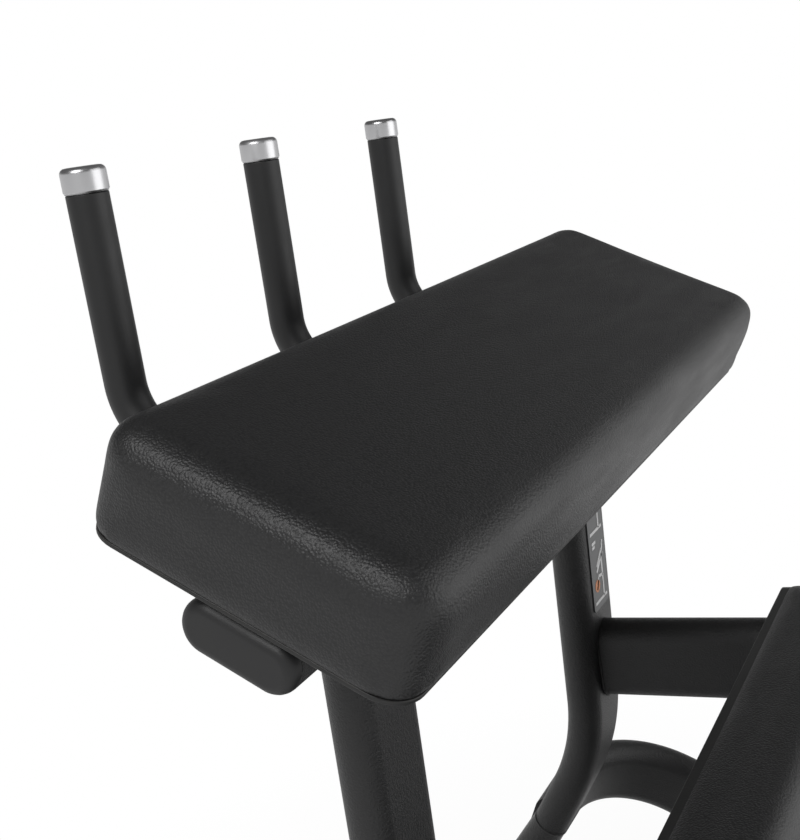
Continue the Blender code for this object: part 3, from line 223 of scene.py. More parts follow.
class SurfaceEffects:
    """The shader node groups that several finishes share, each built once."""

    def __init__(self) -> None:
        """Builds all groups."""
        self.grain = self._grain()
        self.leather = self._leather()
        self.edges = self._edges()
        self.dust = self._dust()

    @staticmethod
    def _start(name: str, inputs: dict[str, tuple[str, object]], outputs: dict[str, str]) -> tuple:
        """Makes an empty group with its sockets.

        Args:
            name: The group's name.
            inputs: Name to socket type and default value.
            outputs: Name to socket type.

        Returns:
            The group, its graph, its input node's sockets and its output node.
        """
        group = bpy.data.node_groups.new(name, "ShaderNodeTree")
        for each, (kind, default) in inputs.items():
            socket = group.interface.new_socket(each, in_out="INPUT", socket_type=kind)
            if default is not None:
                socket.default_value = default
        for each, kind in outputs.items():
            group.interface.new_socket(each, in_out="OUTPUT", socket_type=kind)
        graph = Graph(group)
        start = graph.add("NodeGroupInput")
        end = graph.add("NodeGroupOutput")
        return group, graph, start.outputs, end

    def _grain(self) -> bpy.types.NodeTree:
        """Fine grain of powder paint, rubber and moulded plastic.

        Returns:
            The node group.
        """
        group, graph, given, end = self._start(
            "fine_grain",
            {"Vector": ("NodeSocketVector", None), "Scale": ("NodeSocketFloat", 800.0)},
            {"Height": "NodeSocketFloat", "Patches": "NodeSocketFloat"},
        )
        fine = graph.add("TexNoise", Vector=given["Vector"], Scale=given["Scale"], Detail=3.0, Roughness=0.6)
        wide = graph.math("MULTIPLY", given["Scale"], 0.02)
        patches = graph.add("TexNoise", Vector=given["Vector"], Scale=wide, Detail=2.0, Roughness=0.5)
        graph.put(end, "Height", fine.outputs["Fac"])
        graph.put(end, "Patches", graph.spread(patches.outputs["Fac"], 0.3, 0.7, 0.0, 1.0))
        return group

    def _leather(self) -> bpy.types.NodeTree:
        """Pebbled grain of upholstery vinyl, with the soft ripples of its foam and a mask of the grain's
        valleys for painted shade.

        Returns:
            The node group.
        """
        group, graph, given, end = self._start(
            "leather_grain",
            {"Vector": ("NodeSocketVector", None), "Scale": ("NodeSocketFloat", 420.0)},
            {"Height": "NodeSocketFloat", "Ripples": "NodeSocketFloat", "Valleys": "NodeSocketFloat"},
        )
        place, scale = given["Vector"], given["Scale"]
        warp = graph.add("TexNoise", Vector=place, Scale=graph.math("MULTIPLY", scale, 0.6), Detail=2.0)
        shift = graph.add("VectorMath", {"operation": "SCALE"}, Scale=0.0012)
        graph.put(shift, "0", warp.outputs["Color"])
        moved = graph.vector("ADD", place, shift.outputs[0]).outputs[0]
        cells = graph.add("TexVoronoi", {"feature": "SMOOTH_F1"}, Vector=moved, Scale=scale, Smoothness=0.35)
        pores = graph.add("TexNoise", Vector=place, Scale=graph.math("MULTIPLY", scale, 2.6), Detail=2.0)
        bulge = graph.math("MULTIPLY", graph.spread(cells.outputs["Distance"], 0.05, 0.75, 1.0, 0.0), 0.8)
        height = graph.math("ADD", bulge, graph.math("MULTIPLY", pores.outputs["Fac"], 0.2))
        stretched = graph.add("Mapping", Vector=place, Scale=(2.5, 9.0, 9.0), Rotation=(0.0, 0.0, 0.35))
        ripples = graph.add("TexNoise", Vector=stretched.outputs[0], Scale=4.0, Detail=3.0, Roughness=0.55)
        graph.put(end, "Height", height)
        graph.put(end, "Ripples", ripples.outputs["Fac"])
        # The valleys' mask, used to paint shade into the grain's hollows.
        graph.put(end, "Valleys", graph.spread(cells.outputs["Distance"], 0.45, 0.8, 0.0, 1.0))
        return group

    def _edges(self) -> bpy.types.NodeTree:
        """Where edges stand out and have been rubbed.

        Returns:
            The node group.
        """
        group, graph, given, end = self._start(
            "edge_wear",
            {"Vector": ("NodeSocketVector", None), "Radius": ("NodeSocketFloat", 0.002)},
            {"Mask": "NodeSocketFloat"},
        )
        soft = graph.add("Bevel", {"samples": 4}, Radius=given["Radius"])
        sharp = graph.add("NewGeometry")
        near = graph.vector("DOT_PRODUCT", soft.outputs[0], sharp.outputs["Normal"])
        edge = graph.spread(near.outputs["Value"], 0.9, 0.999, 1.0, 0.0)
        rubbed = graph.add("TexNoise", Vector=given["Vector"], Scale=60.0, Detail=4.0)
        worn = graph.spread(rubbed.outputs["Fac"], 0.4, 0.65, 0.0, 1.0)
        graph.put(end, "Mask", graph.math("MULTIPLY", edge, worn))
        return group

    def _dust(self) -> bpy.types.NodeTree:
        """Dust that has settled on what faces up.

        Returns:
            The node group.
        """
        group, graph, given, end = self._start(
            "settled_dust",
            {"Vector": ("NodeSocketVector", None), "Amount": ("NodeSocketFloat", 0.1)},
            {"Mask": "NodeSocketFloat"},
        )
        facing = graph.add("SeparateXYZ", Vector=graph.add("NewGeometry").outputs["Normal"])
        up = graph.spread(facing.outputs["Z"], 0.5, 1.0, 0.0, 1.0)
        clouds = graph.add("TexNoise", Vector=given["Vector"], Scale=14.0, Detail=5.0, Roughness=0.6)
        patchy = graph.spread(clouds.outputs["Fac"], 0.35, 0.7, 0.2, 1.0)
        graph.put(end, "Mask", graph.math("MULTIPLY", graph.math("MULTIPLY", up, patchy), given["Amount"]))
        return group


def toned(colour: tuple, share: float = 1.0) -> tuple:
    """A colour with its alpha.

    Args:
        colour: Red, green and blue.
        share: How bright it is against that.

    Returns:
        The four values.
    """
    return (*(share * each for each in colour), 1.0)


@dataclass(frozen=True)
class Finish:
    """A material. Each kind says in its surface method how colour, roughness and relief come about."""

    name: str
    colour: tuple
    roughness: float
    metallic: ClassVar[float] = 0.0

    def build(self, effects: SurfaceEffects) -> bpy.types.Material:
        """Makes the material.

        Args:
            effects: The shared node groups.

        Returns:
            The material.
        """
        material = bpy.data.materials.new(self.name)
        material.use_nodes = True
        graph = Graph(material.node_tree)
        shader = material.node_tree.nodes["Principled BSDF"]
        place = graph.add("TexCoord").outputs["Object"]
        base, rough, normal = self.surface(graph, effects, place)
        graph.put(shader, "Base Color", base)
        graph.put(shader, "Metallic", self.metallic)
        graph.put(shader, "Roughness", rough)
        graph.put(shader, "Normal", normal.outputs[0])
        return material


@dataclass(frozen=True)
class GrainedFinish(Finish):
    """A dull coloured finish with grain, rubbed edges and a little dust."""

    rubbed: tuple
    grain_scale: float
    grain_depth: float
    dust: float
    dusty: tuple = (0.20, 0.19, 0.18)

    def surface(self, graph: Graph, effects: SurfaceEffects, place: bpy.types.NodeSocket) -> tuple:
        """Lays grain, rubbed edges and dust over the colour.

        Args:
            graph: The material's graph.
            effects: The shared node groups.
            place: The point on the piece.

        Returns:
            The colour, the roughness and the node with the bent normal.
        """
        grain = graph.add("Group", {"node_tree": effects.grain}, Vector=place, Scale=self.grain_scale)
        wear = graph.add("Group", {"node_tree": effects.edges}, Vector=place)
        dust = graph.add("Group", {"node_tree": effects.dust}, Vector=place, Amount=self.dust)
        patches, settled = grain.outputs["Patches"], dust.outputs["Mask"]
        base = graph.blend(patches, toned(self.colour, 0.8), toned(self.colour))
        base = graph.blend(wear.outputs["Mask"], base, toned(self.rubbed))
        base = graph.blend(settled, base, toned(self.dusty))
        rough = graph.spread(patches, 0.0, 1.0, self.roughness - 0.03, self.roughness + 0.04)
        rough = graph.math("ADD", rough, graph.math("MULTIPLY", settled, 0.5))
        return base, rough, graph.bump(self.grain_depth, grain.outputs["Height"])


@dataclass(frozen=True)
class PowderCoat(GrainedFinish):
    """Fine-textured black powder paint."""

    name: str = "black_powder_coat"
    colour: tuple = (0.017, 0.017, 0.0175)
    roughness: float = 0.42
    rubbed: tuple = (0.045, 0.045, 0.046)
    grain_scale: float = 480.0
    grain_depth: float = 0.0011
    dust: float = 0.05


@dataclass(frozen=True)
class MouldedPlastic(GrainedFinish):
    """Black plastic of the end caps and the knob."""

    name: str = "moulded_black_plastic"
    colour: tuple = (0.014, 0.014, 0.0145)
    roughness: float = 0.48
    rubbed: tuple = (0.03, 0.03, 0.031)
    grain_scale: float = 1400.0
    grain_depth: float = 0.00006
    dust: float = 0.04


@dataclass(frozen=True)
class GripRubber(GrainedFinish):
    """Smooth rubber of the handles' grips."""

    name: str = "grip_rubber"
    colour: tuple = (0.010, 0.010, 0.0105)
    roughness: float = 0.47
    rubbed: tuple = (0.02, 0.02, 0.02)
    grain_scale: float = 1800.0
    grain_depth: float = 0.00005
    dust: float = 0.0
    dusty: tuple = (0.16, 0.155, 0.15)


@dataclass(frozen=True)
class HardRubber(GrainedFinish):
    """Rubber of the feet, the mat and the buffers."""

    name: str = "hard_rubber"
    colour: tuple = (0.014, 0.014, 0.014)
    roughness: float = 0.68
    rubbed: tuple = (0.035, 0.035, 0.034)
    grain_scale: float = 900.0
    grain_depth: float = 0.00018
    dust: float = 0.14


@dataclass(frozen=True)
class RollerFoam(GrainedFinish):
    """The rollers' closed-cell foam with its matt skin."""

    name: str = "roller_foam"
    colour: tuple = (0.016, 0.016, 0.016)
    roughness: float = 0.75
    rubbed: tuple = (0.03, 0.03, 0.03)
    grain_scale: float = 520.0
    grain_depth: float = 0.0005
    dust: float = 0.04
    dusty: tuple = (0.16, 0.155, 0.15)


@dataclass(frozen=True)
class BoardPaint(GrainedFinish):
    """Black lacquer of the pads' boards."""

    name: str = "board_lacquer"
    colour: tuple = (0.013, 0.013, 0.013)
    roughness: float = 0.5
    rubbed: tuple = (0.03, 0.026, 0.022)
    grain_scale: float = 300.0
    grain_depth: float = 0.0002
    dust: float = 0.03


@dataclass(frozen=True)
class PadVinyl(Finish):
    """Black upholstery vinyl with a pebbled grain, its valleys darkened as painted shade."""

    name: str = "pad_vinyl"
    colour: tuple = (0.0155, 0.0155, 0.016)
    roughness: float = 0.45
    # Painted shade: a darker colour laid into the grain's valleys, where shade falls.
    valley: tuple = (0.010, 0.010, 0.0105)
    grain_scale: float = 520.0
    grain_depth: float = 0.00040
    ripple_depth: float = 0.0006

    def surface(self, graph: Graph, effects: SurfaceEffects, place: bpy.types.NodeSocket) -> tuple:
        """Lays the pebbled grain over the foam's ripples and darkens the grain's valleys as painted shade.

        Args:
            graph: The material's graph.
            effects: The shared node groups.
            place: The point on the piece.

        Returns:
            The colour, the roughness and the node with the bent normal.
        """
        skin = graph.add("Group", {"node_tree": effects.leather}, Vector=place, Scale=self.grain_scale)
        ripples = skin.outputs["Ripples"]
        # Painted shade: the grain's valleys take the darker colour.
        base = graph.blend(skin.outputs["Valleys"], toned(self.colour), toned(self.valley))
        rough = graph.spread(ripples, 0.3, 0.7, self.roughness - 0.04, self.roughness + 0.05)
        grain = graph.bump(self.grain_depth, skin.outputs["Height"])
        graph.put(grain, "Normal", graph.bump(self.ripple_depth, ripples).outputs[0])
        return base, rough, grain


@dataclass(frozen=True)
class PlatedMetal(Finish):
    """Chrome or bright steel, with fine turning lines and smudges."""

    line_scale: float
    line_depth: float
    metallic: ClassVar[float] = 1.0

    def surface(self, graph: Graph, effects: SurfaceEffects, place: bpy.types.NodeSocket) -> tuple:
        """Lays smudges and turning lines over the metal.

        Args:
            graph: The material's graph.
            effects: The shared node groups.
            place: The point on the piece.

        Returns:
            The colour, the roughness and the node with the bent normal.
        """
        smudge = graph.add("Group", {"node_tree": effects.grain}, Vector=place, Scale=900.0)
        patches = smudge.outputs["Patches"]
        lines = graph.add("Mapping", Vector=place, Scale=(1.0, 1.0, self.line_scale))
        turned_lines = graph.add("TexNoise", Vector=lines.outputs[0], Scale=30.0, Detail=2.0)
        base = graph.blend(patches, toned(self.colour, 0.86), toned(self.colour))
        rough = graph.spread(patches, 0.0, 1.0, self.roughness * 0.8, self.roughness * 1.3)
        return base, rough, graph.bump(self.line_depth, turned_lines.outputs["Fac"])


@dataclass(frozen=True)
class PrintedPlacard(Finish):
    """Satin film of the instruction placard."""

    roughness: float = 0.35
    film_scale: float = 1500.0
    film_depth: float = 0.00002

    def surface(self, graph: Graph, effects: SurfaceEffects, place: bpy.types.NodeSocket) -> tuple:
        """Lays the film's faint grain over the ink.

        Args:
            graph: The material's graph.
            effects: The shared node groups.
            place: The point on the piece.

        Returns:
            The colour, the roughness and the node with the bent normal.
        """
        film = graph.add("Group", {"node_tree": effects.grain}, Vector=place, Scale=self.film_scale)
        base = graph.blend(film.outputs["Patches"], toned(self.colour, 0.9), toned(self.colour))
        return base, self.roughness, graph.bump(self.film_depth, film.outputs["Height"])


class Palette:
    """Every material of the machine, by the record's slot or by name."""

    def __init__(self) -> None:
        """Builds the shared effects and the materials."""
        effects = SurfaceEffects()
        self.by_slot = {
            Slot.PAINT: PowderCoat().build(effects),
            Slot.PLASTIC: MouldedPlastic().build(effects),
            Slot.RUBBER: HardRubber().build(effects),
            Slot.GRIP: GripRubber().build(effects),
            Slot.CHROME: PlatedMetal("polished_cap", (0.60, 0.60, 0.61), 0.29, 40.0, 0.00002).build(effects),
            Slot.STEEL: PlatedMetal("bright_steel", (0.55, 0.55, 0.56), 0.28, 4.0, 0.00003).build(effects),
            Slot.VINYL: PadVinyl().build(effects),
            Slot.BOARD: BoardPaint().build(effects),
            Slot.FOAM: RollerFoam().build(effects),
            Slot.PLACARD: PrintedPlacard("placard_film", (0.085, 0.087, 0.09)).build(effects),
        }
        self.ink_light = PrintedPlacard("placard_light_ink", (0.78, 0.78, 0.78)).build(effects)
        self.ink_orange = PrintedPlacard("placard_orange_ink", (0.80, 0.25, 0.05)).build(effects)


def only(obj: bpy.types.Object) -> None:
    """Selects one object and makes it active.

    Args:
        obj: The object.
    """
    bpy.ops.object.select_all(action="DESELECT")
    obj.select_set(True)
    bpy.context.view_layer.objects.active = obj


@contextmanager
def editing(obj: bpy.types.Object) -> Iterator[None]:
    """Opens edit mode on one object for the length of a block.

    Args:
        obj: The object.

    Yields:
        Nothing.
    """
    only(obj)
    bpy.ops.object.mode_set(mode="EDIT")
    yield
    bpy.ops.object.mode_set(mode="OBJECT")


def pick(kind: str, test: Callable) -> None:
    """Selects, in edit mode, only the elements that a test passes.

    Args:
        kind: verts, edges or faces.
        test: Takes a bmesh element and says whether it is selected.
    """
    mode = {"verts": "VERT", "edges": "EDGE", "faces": "FACE"}[kind]
    bpy.ops.mesh.select_mode(type=mode)
    bpy.ops.mesh.select_all(action="DESELECT")
    mesh = bpy.context.edit_object.data
    bm = bmesh.from_edit_mesh(mesh)
    for each in [each for each in getattr(bm, kind) if test(each)]:
        each.select_set(True)
    bm.select_flush_mode()
    bmesh.update_edit_mesh(mesh)


def climb(edge: bmesh.types.BMEdge) -> float:
    """How much higher one end of an edge is than the other."""
    return abs(edge.verts[0].co.z - edge.verts[1].co.z)


def square_frame(heading: Vector, tall: Vector) -> Matrix:
    """A turn whose Z is the heading and whose Y is the tall direction.

    Args:
        heading: The way it points.
        tall: The way the long side faces.

    Returns:
        The turn as a 4 x 4 matrix.
    """
    z, y = heading.normalized(), tall.normalized()
    return Matrix((y.cross(z), y, z)).transposed().to_4x4()


def named(name: str) -> bpy.types.Object:
    """Names the active object and its mesh.

    Args:
        name: The piece's name.

    Returns:
        The object.
    """
    obj = bpy.context.active_object
    obj.name = name
    obj.data.name = obj.name
    return obj


def place_applied(obj: bpy.types.Object) -> None:
    """Puts the object's place into its mesh.

    Args:
        obj: The object.
    """
    only(obj)
    bpy.ops.object.transform_apply(location=True, rotation=True, scale=True)


def add_modifier(obj: bpy.types.Object, kind: str, **settings: object) -> None:
    """Adds a modifier and applies it.

    Args:
        obj: The object.
        kind: The modifier's type.
        **settings: Values of its properties.
    """
    only(obj)
    modifier = obj.modifiers.new(kind.lower(), kind)
    for key, value in settings.items():
        setattr(modifier, key, value)
    bpy.ops.object.modifier_apply(modifier=modifier.name)


def soften(obj: bpy.types.Object, width: float, segments: int, angle: float) -> None:
    """Rounds the edges that are sharper than the angle and shades the piece smooth.

    Args:
        obj: The piece.
        width: The rounding's width.
        segments: Its steps.
        angle: In degrees.
    """
    if width > 0:
        add_modifier(
            obj,
            "BEVEL",
            width=width,
            segments=segments,
            limit_method="ANGLE",
            angle_limit=math.radians(angle),
            harden_normals=False,
        )
    only(obj)
    bpy.ops.object.shade_smooth()
    add_modifier(obj, "WEIGHTED_NORMAL", weight=50, keep_sharp=False)


def face_out(obj: bpy.types.Object) -> None:
    """Merges doubles and turns every face outwards.

    Args:
        obj: The piece.
    """
    with editing(obj):
        bpy.ops.mesh.select_all(action="SELECT")
        bpy.ops.mesh.remove_doubles(threshold=MERGE)
        bpy.ops.mesh.normals_make_consistent(inside=False)


@dataclass
class Workshop:
    """Makes pieces, and hands each its finish, its body and the nodes that it stands for."""

    palette: Palette
    made: int = 0

    def hand_over(
        self,
        obj: bpy.types.Object,
        slot: Slot,
        body: Body = Body.FRAME,
        nodes: tuple[str, ...] = (),
        material: bpy.types.Material | None = None,
    ) -> None:
        """Dresses a finished piece and puts it on its body.

        Args:
            obj: The piece.
            slot: Its material slot.
            body: What it rides on.
            nodes: The CAD nodes that it stands for.
            material: A material other than the slot's.
        """
        obj.data.materials.clear()
        obj.data.materials.append(material or self.palette.by_slot[slot])
        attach(obj, body.value)
        if nodes:
            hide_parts(*nodes)
        self.made += 1
        log.info("%-28s %6d faces on %s", obj.name, len(obj.data.polygons), body.value)

    def finish(
        self,
        obj: bpy.types.Object,
        slot: Slot,
        *nodes: str,
        body: Body = Body.FRAME,
        width: float = 0.0,
        segments: int = 2,
        angle: float = 30.0,
    ) -> None:
        """Rounds and shades a piece and hands it over.

        Args:
            obj: The piece.
            slot: Its material slot.
            *nodes: The CAD nodes that it stands for.
            body: What it rides on.
            width: The width of its rounded edges.
            segments: The rounding's steps.
            angle: The sharpest angle that stays as it is, in degrees.
        """
        soften(obj, width, segments, angle)
        self.hand_over(obj, slot, body, nodes)


class Drawn:
    """A tube drawn from a ring of points, which is extruded and spun along its route."""

    RING_STEPS = 48

    def __init__(
        self, name: str, start: Vector, heading: Vector, tall: Vector, long: float, short: float
    ) -> None:
        """Makes the first ring.

        Args:
            name: The piece's name.
            start: The middle of its first ring.
            heading: The way it runs.
            tall: The way its long side faces.
            long: Its long side.
            short: Its short side, the same for a round bar.
        """
        roll = Matrix.Rotation(math.pi / self.RING_STEPS, 4, "Z")
        turn = Matrix.Translation(start) @ square_frame(heading, tall) @ roll
        bpy.ops.object.select_all(action="DESELECT")
        bpy.ops.mesh.primitive_circle_add(
            vertices=self.RING_STEPS,
            radius=short / 2,
            fill_type="NOTHING",
            location=turn.to_translation(),
            rotation=turn.to_euler(),
        )
        self.obj = named(name)
        place_applied(self.obj)
        self.place, self.heading, self.tall = start.copy(), heading.normalized(), tall.normalized()
        bpy.ops.object.mode_set(mode="EDIT")
        if abs(long - short) > MERGE:
            for sign in (1, -1):
                pick("verts", lambda v, sign=sign: sign * (v.co - start).dot(self.tall) > 0)
                bpy.ops.transform.translate(value=self.tall * sign * (long - short) / 2)
        bpy.ops.mesh.select_mode(type="EDGE")
        bpy.ops.mesh.select_all(action="SELECT")

    def run(self, length: float) -> "Drawn":
        """Goes straight on.

        Args:
            length: How far.

        Returns:
            The tube.
        """
        step = self.heading * length
        bpy.ops.mesh.extrude_region_move(TRANSFORM_OT_translate={"value": step})
        self.place = self.place + step
        return self

    def bend(self, angle: float, radius: float, toward: Vector, steps: int = 20) -> "Drawn":
        """Bends towards a direction.

        Args:
            angle: How far, in radians.
            radius: The middle line's radius.
            toward: Square to the heading.
            steps: How many rings.

        Returns:
            The tube.
        """
        centre = self.place + toward.normalized() * radius
        axis = self.heading.cross(toward.normalized())
        bpy.ops.mesh.spin(steps=steps, dupli=False, angle=-angle, center=centre, axis=axis)
        turn = Matrix.Rotation(angle, 3, axis)
        self.place = centre + turn @ (self.place - centre)
        self.heading = turn @ self.heading
        self.tall = turn @ self.tall
        return self

    def done(self, cuts: tuple = ()) -> bpy.types.Object:
        """Cuts, closes and turns out the tube.

        Args:
            cuts: Planes as (point, normal); what lies past the normal goes.

        Returns:
            The mesh object.
        """
        for point, normal in cuts:
            bpy.ops.mesh.select_all(action="SELECT")
            bpy.ops.mesh.bisect(plane_co=point, plane_no=normal, clear_outer=True, use_fill=False)
        bpy.ops.mesh.select_all(action="DESELECT")
        bpy.ops.mesh.select_non_manifold()
        bpy.ops.mesh.fill_holes(sides=0)
        bpy.ops.object.mode_set(mode="OBJECT")
        face_out(self.obj)
        return self.obj


def chained(name: str, points: list[Vector]) -> bpy.types.Object:
    """A chain of edges: one point, extruded from each place to the next.

    Args:
        name: The piece's name.
        points: The places.

    Returns:
        The mesh object.
    """
    bpy.ops.object.select_all(action="DESELECT")
    bpy.ops.mesh.primitive_plane_add(size=0.001, location=points[0])
    obj = named(name)
    place_applied(obj)
    with editing(obj):
        bpy.ops.mesh.select_mode(type="VERT")
        bpy.ops.mesh.select_all(action="SELECT")
        bpy.ops.mesh.merge(type="CENTER")
        for before, after in zip(points, points[1:]):
            bpy.ops.mesh.extrude_region_move(TRANSFORM_OT_translate={"value": after - before})
    return obj


def turned(
    name: str, profile: list[tuple], centre: Vector, axis: Vector, steps: int = 64
) -> bpy.types.Object:
    """A piece turned on a lathe: its profile is spun round.

    Args:
        name: The piece's name.
        profile: (radius, height) points. A ring's profile ends where it starts.
        centre: Where height 0 is.
        axis: The way height grows.
        steps: How many facets it has round.

    Returns:
        The mesh object.
    """
    out = axis.normalized().orthogonal().normalized()
    obj = chained(name, [centre + out * radius + axis.normalized() * height for radius, height in profile])
    with editing(obj):
        bpy.ops.mesh.select_all(action="SELECT")
        bpy.ops.mesh.remove_doubles(threshold=MERGE)
        bpy.ops.mesh.select_all(action="SELECT")
        bpy.ops.mesh.spin(steps=steps, dupli=False, angle=2 * math.pi, center=centre, axis=axis)
    face_out(obj)
    return obj


def drawn_plate(name: str, points: list[Vector], through: Vector) -> bpy.types.Object:
    """A plate from its outline.

    Args:
        name: The piece's name.
        points: The outline's corners, all in one plane.
        through: The way and how far it is thick.

    Returns:
        The mesh object.
    """
    obj = chained(name, points)
    with editing(obj):
        bpy.ops.mesh.select_all(action="SELECT")
        bpy.ops.mesh.edge_face_add()
        bpy.ops.mesh.extrude_region_move(TRANSFORM_OT_translate={"value": through})
    face_out(obj)
    return obj


def touching_angle(first: tuple, second: tuple) -> float:
    """Where the outer tangent of two circles, walked anticlockwise, touches them.

    Args:
        first: The first circle as (y, z, radius).
        second: The second.

    Returns:
        The angle in radians.
    """
    y, z = second[0] - first[0], second[1] - first[1]
    return math.atan2(z, y) - math.acos((first[2] - second[2]) / math.hypot(y, z))


def linked_plate(name: str, circles: list[tuple], low: float, thick: float) -> bpy.types.Object:
    """A plate square to X whose outline is drawn tight round circles. Inner corners stay sharp.

    Args:
        name: The piece's name.
        circles: (y, z, radius) of each, anticlockwise.
        low: The X of its lower face.
        thick: Its thickness.

    Returns:
        The mesh object.
    """
    points = []
    for number, (y, z, radius) in enumerate(circles):
        start = touching_angle(circles[number - 1], circles[number])
        turn = (touching_angle(circles[number], circles[(number + 1) % len(circles)]) - start) % (2 * math.pi)
        if turn > math.pi:
            points.append(Vector((low, y, z)))
            continue
        steps = max(1, round(turn / math.radians(6)))
        for step in range(steps + 1):
            angle = start + turn * step / steps
            points.append(Vector((low, y + radius * math.cos(angle), z + radius * math.sin(angle))))
    return drawn_plate(name, points, X_AXIS * thick)


def block(name: str, size: tuple) -> bpy.types.Object:
    """A box that stands on the XY plane.

    Args:
        name: The piece's name.
        size: Its three sizes.

    Returns:
        The mesh object.
    """
    bpy.ops.object.select_all(action="DESELECT")
    bpy.ops.mesh.primitive_cube_add(size=1, location=(0, 0, size[2] / 2))
    obj = named(name)
    obj.scale = size
    place_applied(obj)
    return obj


def slab(
    name: str, size: tuple, place: Matrix, corner: float, rim: float, steps: int = 8
) -> bpy.types.Object:
    """A block with rounded corners round its Z and a rounded rim.

    Args:
        name: The piece's name.
        size: Along the matrix's axes. It stands on the matrix's XY plane.
        place: Where it stands.
        corner: The corners' radius seen from above.
        rim: The rims' radius.
        steps: Steps in the corners.

    Returns:
        The mesh object.
    """
    obj = block(name, size)
    with editing(obj):
        if corner > 0:
            pick("edges", lambda e: climb(e) > size[2] / 2)
            bpy.ops.mesh.bevel(offset=corner, segments=steps, affect="EDGES")
        if rim > 0:
            pick("edges", lambda e: e.calc_face_angle(0) > CORNER_ANGLE and climb(e) < MERGE)
            bpy.ops.mesh.bevel(offset=rim, segments=3, affect="EDGES")
    obj.matrix_world = place
    place_applied(obj)
    face_out(obj)
    return obj


def copied_node(name: str, node: str) -> bpy.types.Object:
    """A CAD node's solid with its triangles merged to faces.

    Args:
        name: The new piece's name.
        node: The CAD node.

    Returns:
        The mesh object.
    """
    obj = bpy.data.objects.new(name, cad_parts[node].data.copy())
    bpy.context.scene.collection.objects.link(obj)
    face_out(obj)
    with editing(obj):
        bpy.ops.mesh.select_all(action="SELECT")
        bpy.ops.mesh.dissolve_limited(angle_limit=math.radians(1))
    return obj


def unite(first: bpy.types.Object, others: list[bpy.types.Object], operation: str = "UNION") -> None:
    """Joins or cuts a piece with others, which are used up.

    Args:
        first: The piece that stays.
        others: What is joined to it or cut from it.
        operation: UNION or DIFFERENCE.
    """
    for other in others:
        add_modifier(first, "BOOLEAN", operation=operation, object=other, solver="EXACT")
        bpy.data.objects.remove(other)


@dataclass(frozen=True)
class WeldBead:
    """A smooth rippled bead round a tube's end."""

    centre: Vector
    normal: Vector
    tall: Vector
    long: float
    short: float
    size: float = 0.003
    steps: int = 180
    turning: float = 0.06
    ripple: float = 0.12
    ripple_scale: float = 200.0

    def build(self, shop: Workshop, name: str, settle: Callable | None = None) -> None:
        """Lays the bead and hands it over.

        Args:
            shop: Where it is handed over.
            name: The piece's name.
            settle: Moves a point of the ring onto a surface that isn't flat.
        """
        bpy.ops.object.select_all(action="DESELECT")
        bpy.ops.mesh.primitive_circle_add(vertices=self.steps, radius=self.short / 2, fill_type="NOTHING")
        obj = bpy.context.active_object
        obj.name = name
        half = (self.long - self.short) / 2
        for vert in obj.data.vertices:
            vert.co.y += half * max(-1.0, min(1.0, vert.co.y / (self.short * self.turning)))
        obj.matrix_world = Matrix.Translation(self.centre) @ square_frame(self.normal, self.tall)
        place_applied(obj)
        if settle:
            for vert in obj.data.vertices:
                vert.co = settle(vert.co)
        bpy.ops.object.convert(target="CURVE")
        obj = bpy.context.active_object
        obj.data.bevel_depth = self.size
        obj.data.bevel_resolution = 3
        bpy.ops.object.convert(target="MESH")
        obj = bpy.context.active_object
        obj.data.name = name
        for vert in obj.data.vertices:
            vert.co += noise.noise_vector(vert.co * self.ripple_scale) * self.size * self.ripple
        face_out(obj)
        shop.finish(obj, Slot.PAINT)


@dataclass(frozen=True)
class ButtonBolt:
    """A button-head bolt on a washer."""

    radius: float = 0.0085
    height: float = 0.0050
    washer: float = 0.0120
    washer_thick: float = 0.0016
    washer_edge: float = 0.0003
    socket: float = 0.38
    socket_depth: float = 0.0026

    def build(self, shop: Workshop, name: str, place: Vector, out: Vector, body: Body = Body.FRAME) -> None:
        """Makes the bolt and hands it over.

        Args:
            shop: Where it is handed over.
            name: The piece's name.
            place: Where the washer lies.
            out: The way its head faces.
            body: What it rides on.
        """
        flat, top, wide = self.washer_thick, self.washer_thick + self.height, self.radius
        profile = [
            (0, top - self.socket_depth),
            (wide * self.socket, top - self.socket_depth),
            (wide * self.socket, top),
            (wide * 0.62, top - 0.0003),
            (wide * 0.82, top - 0.0012),
            (wide * 0.95, top - 0.0028),
            (wide, flat + 0.0004),
            (wide, flat),
            (self.washer - self.washer_edge, flat),
            (self.washer, flat - self.washer_edge),
            (self.washer, 0),
            (0, 0),
        ]
        bolt = turned(name, profile, place, out, 36)
        shop.finish(bolt, Slot.STEEL, body=body)


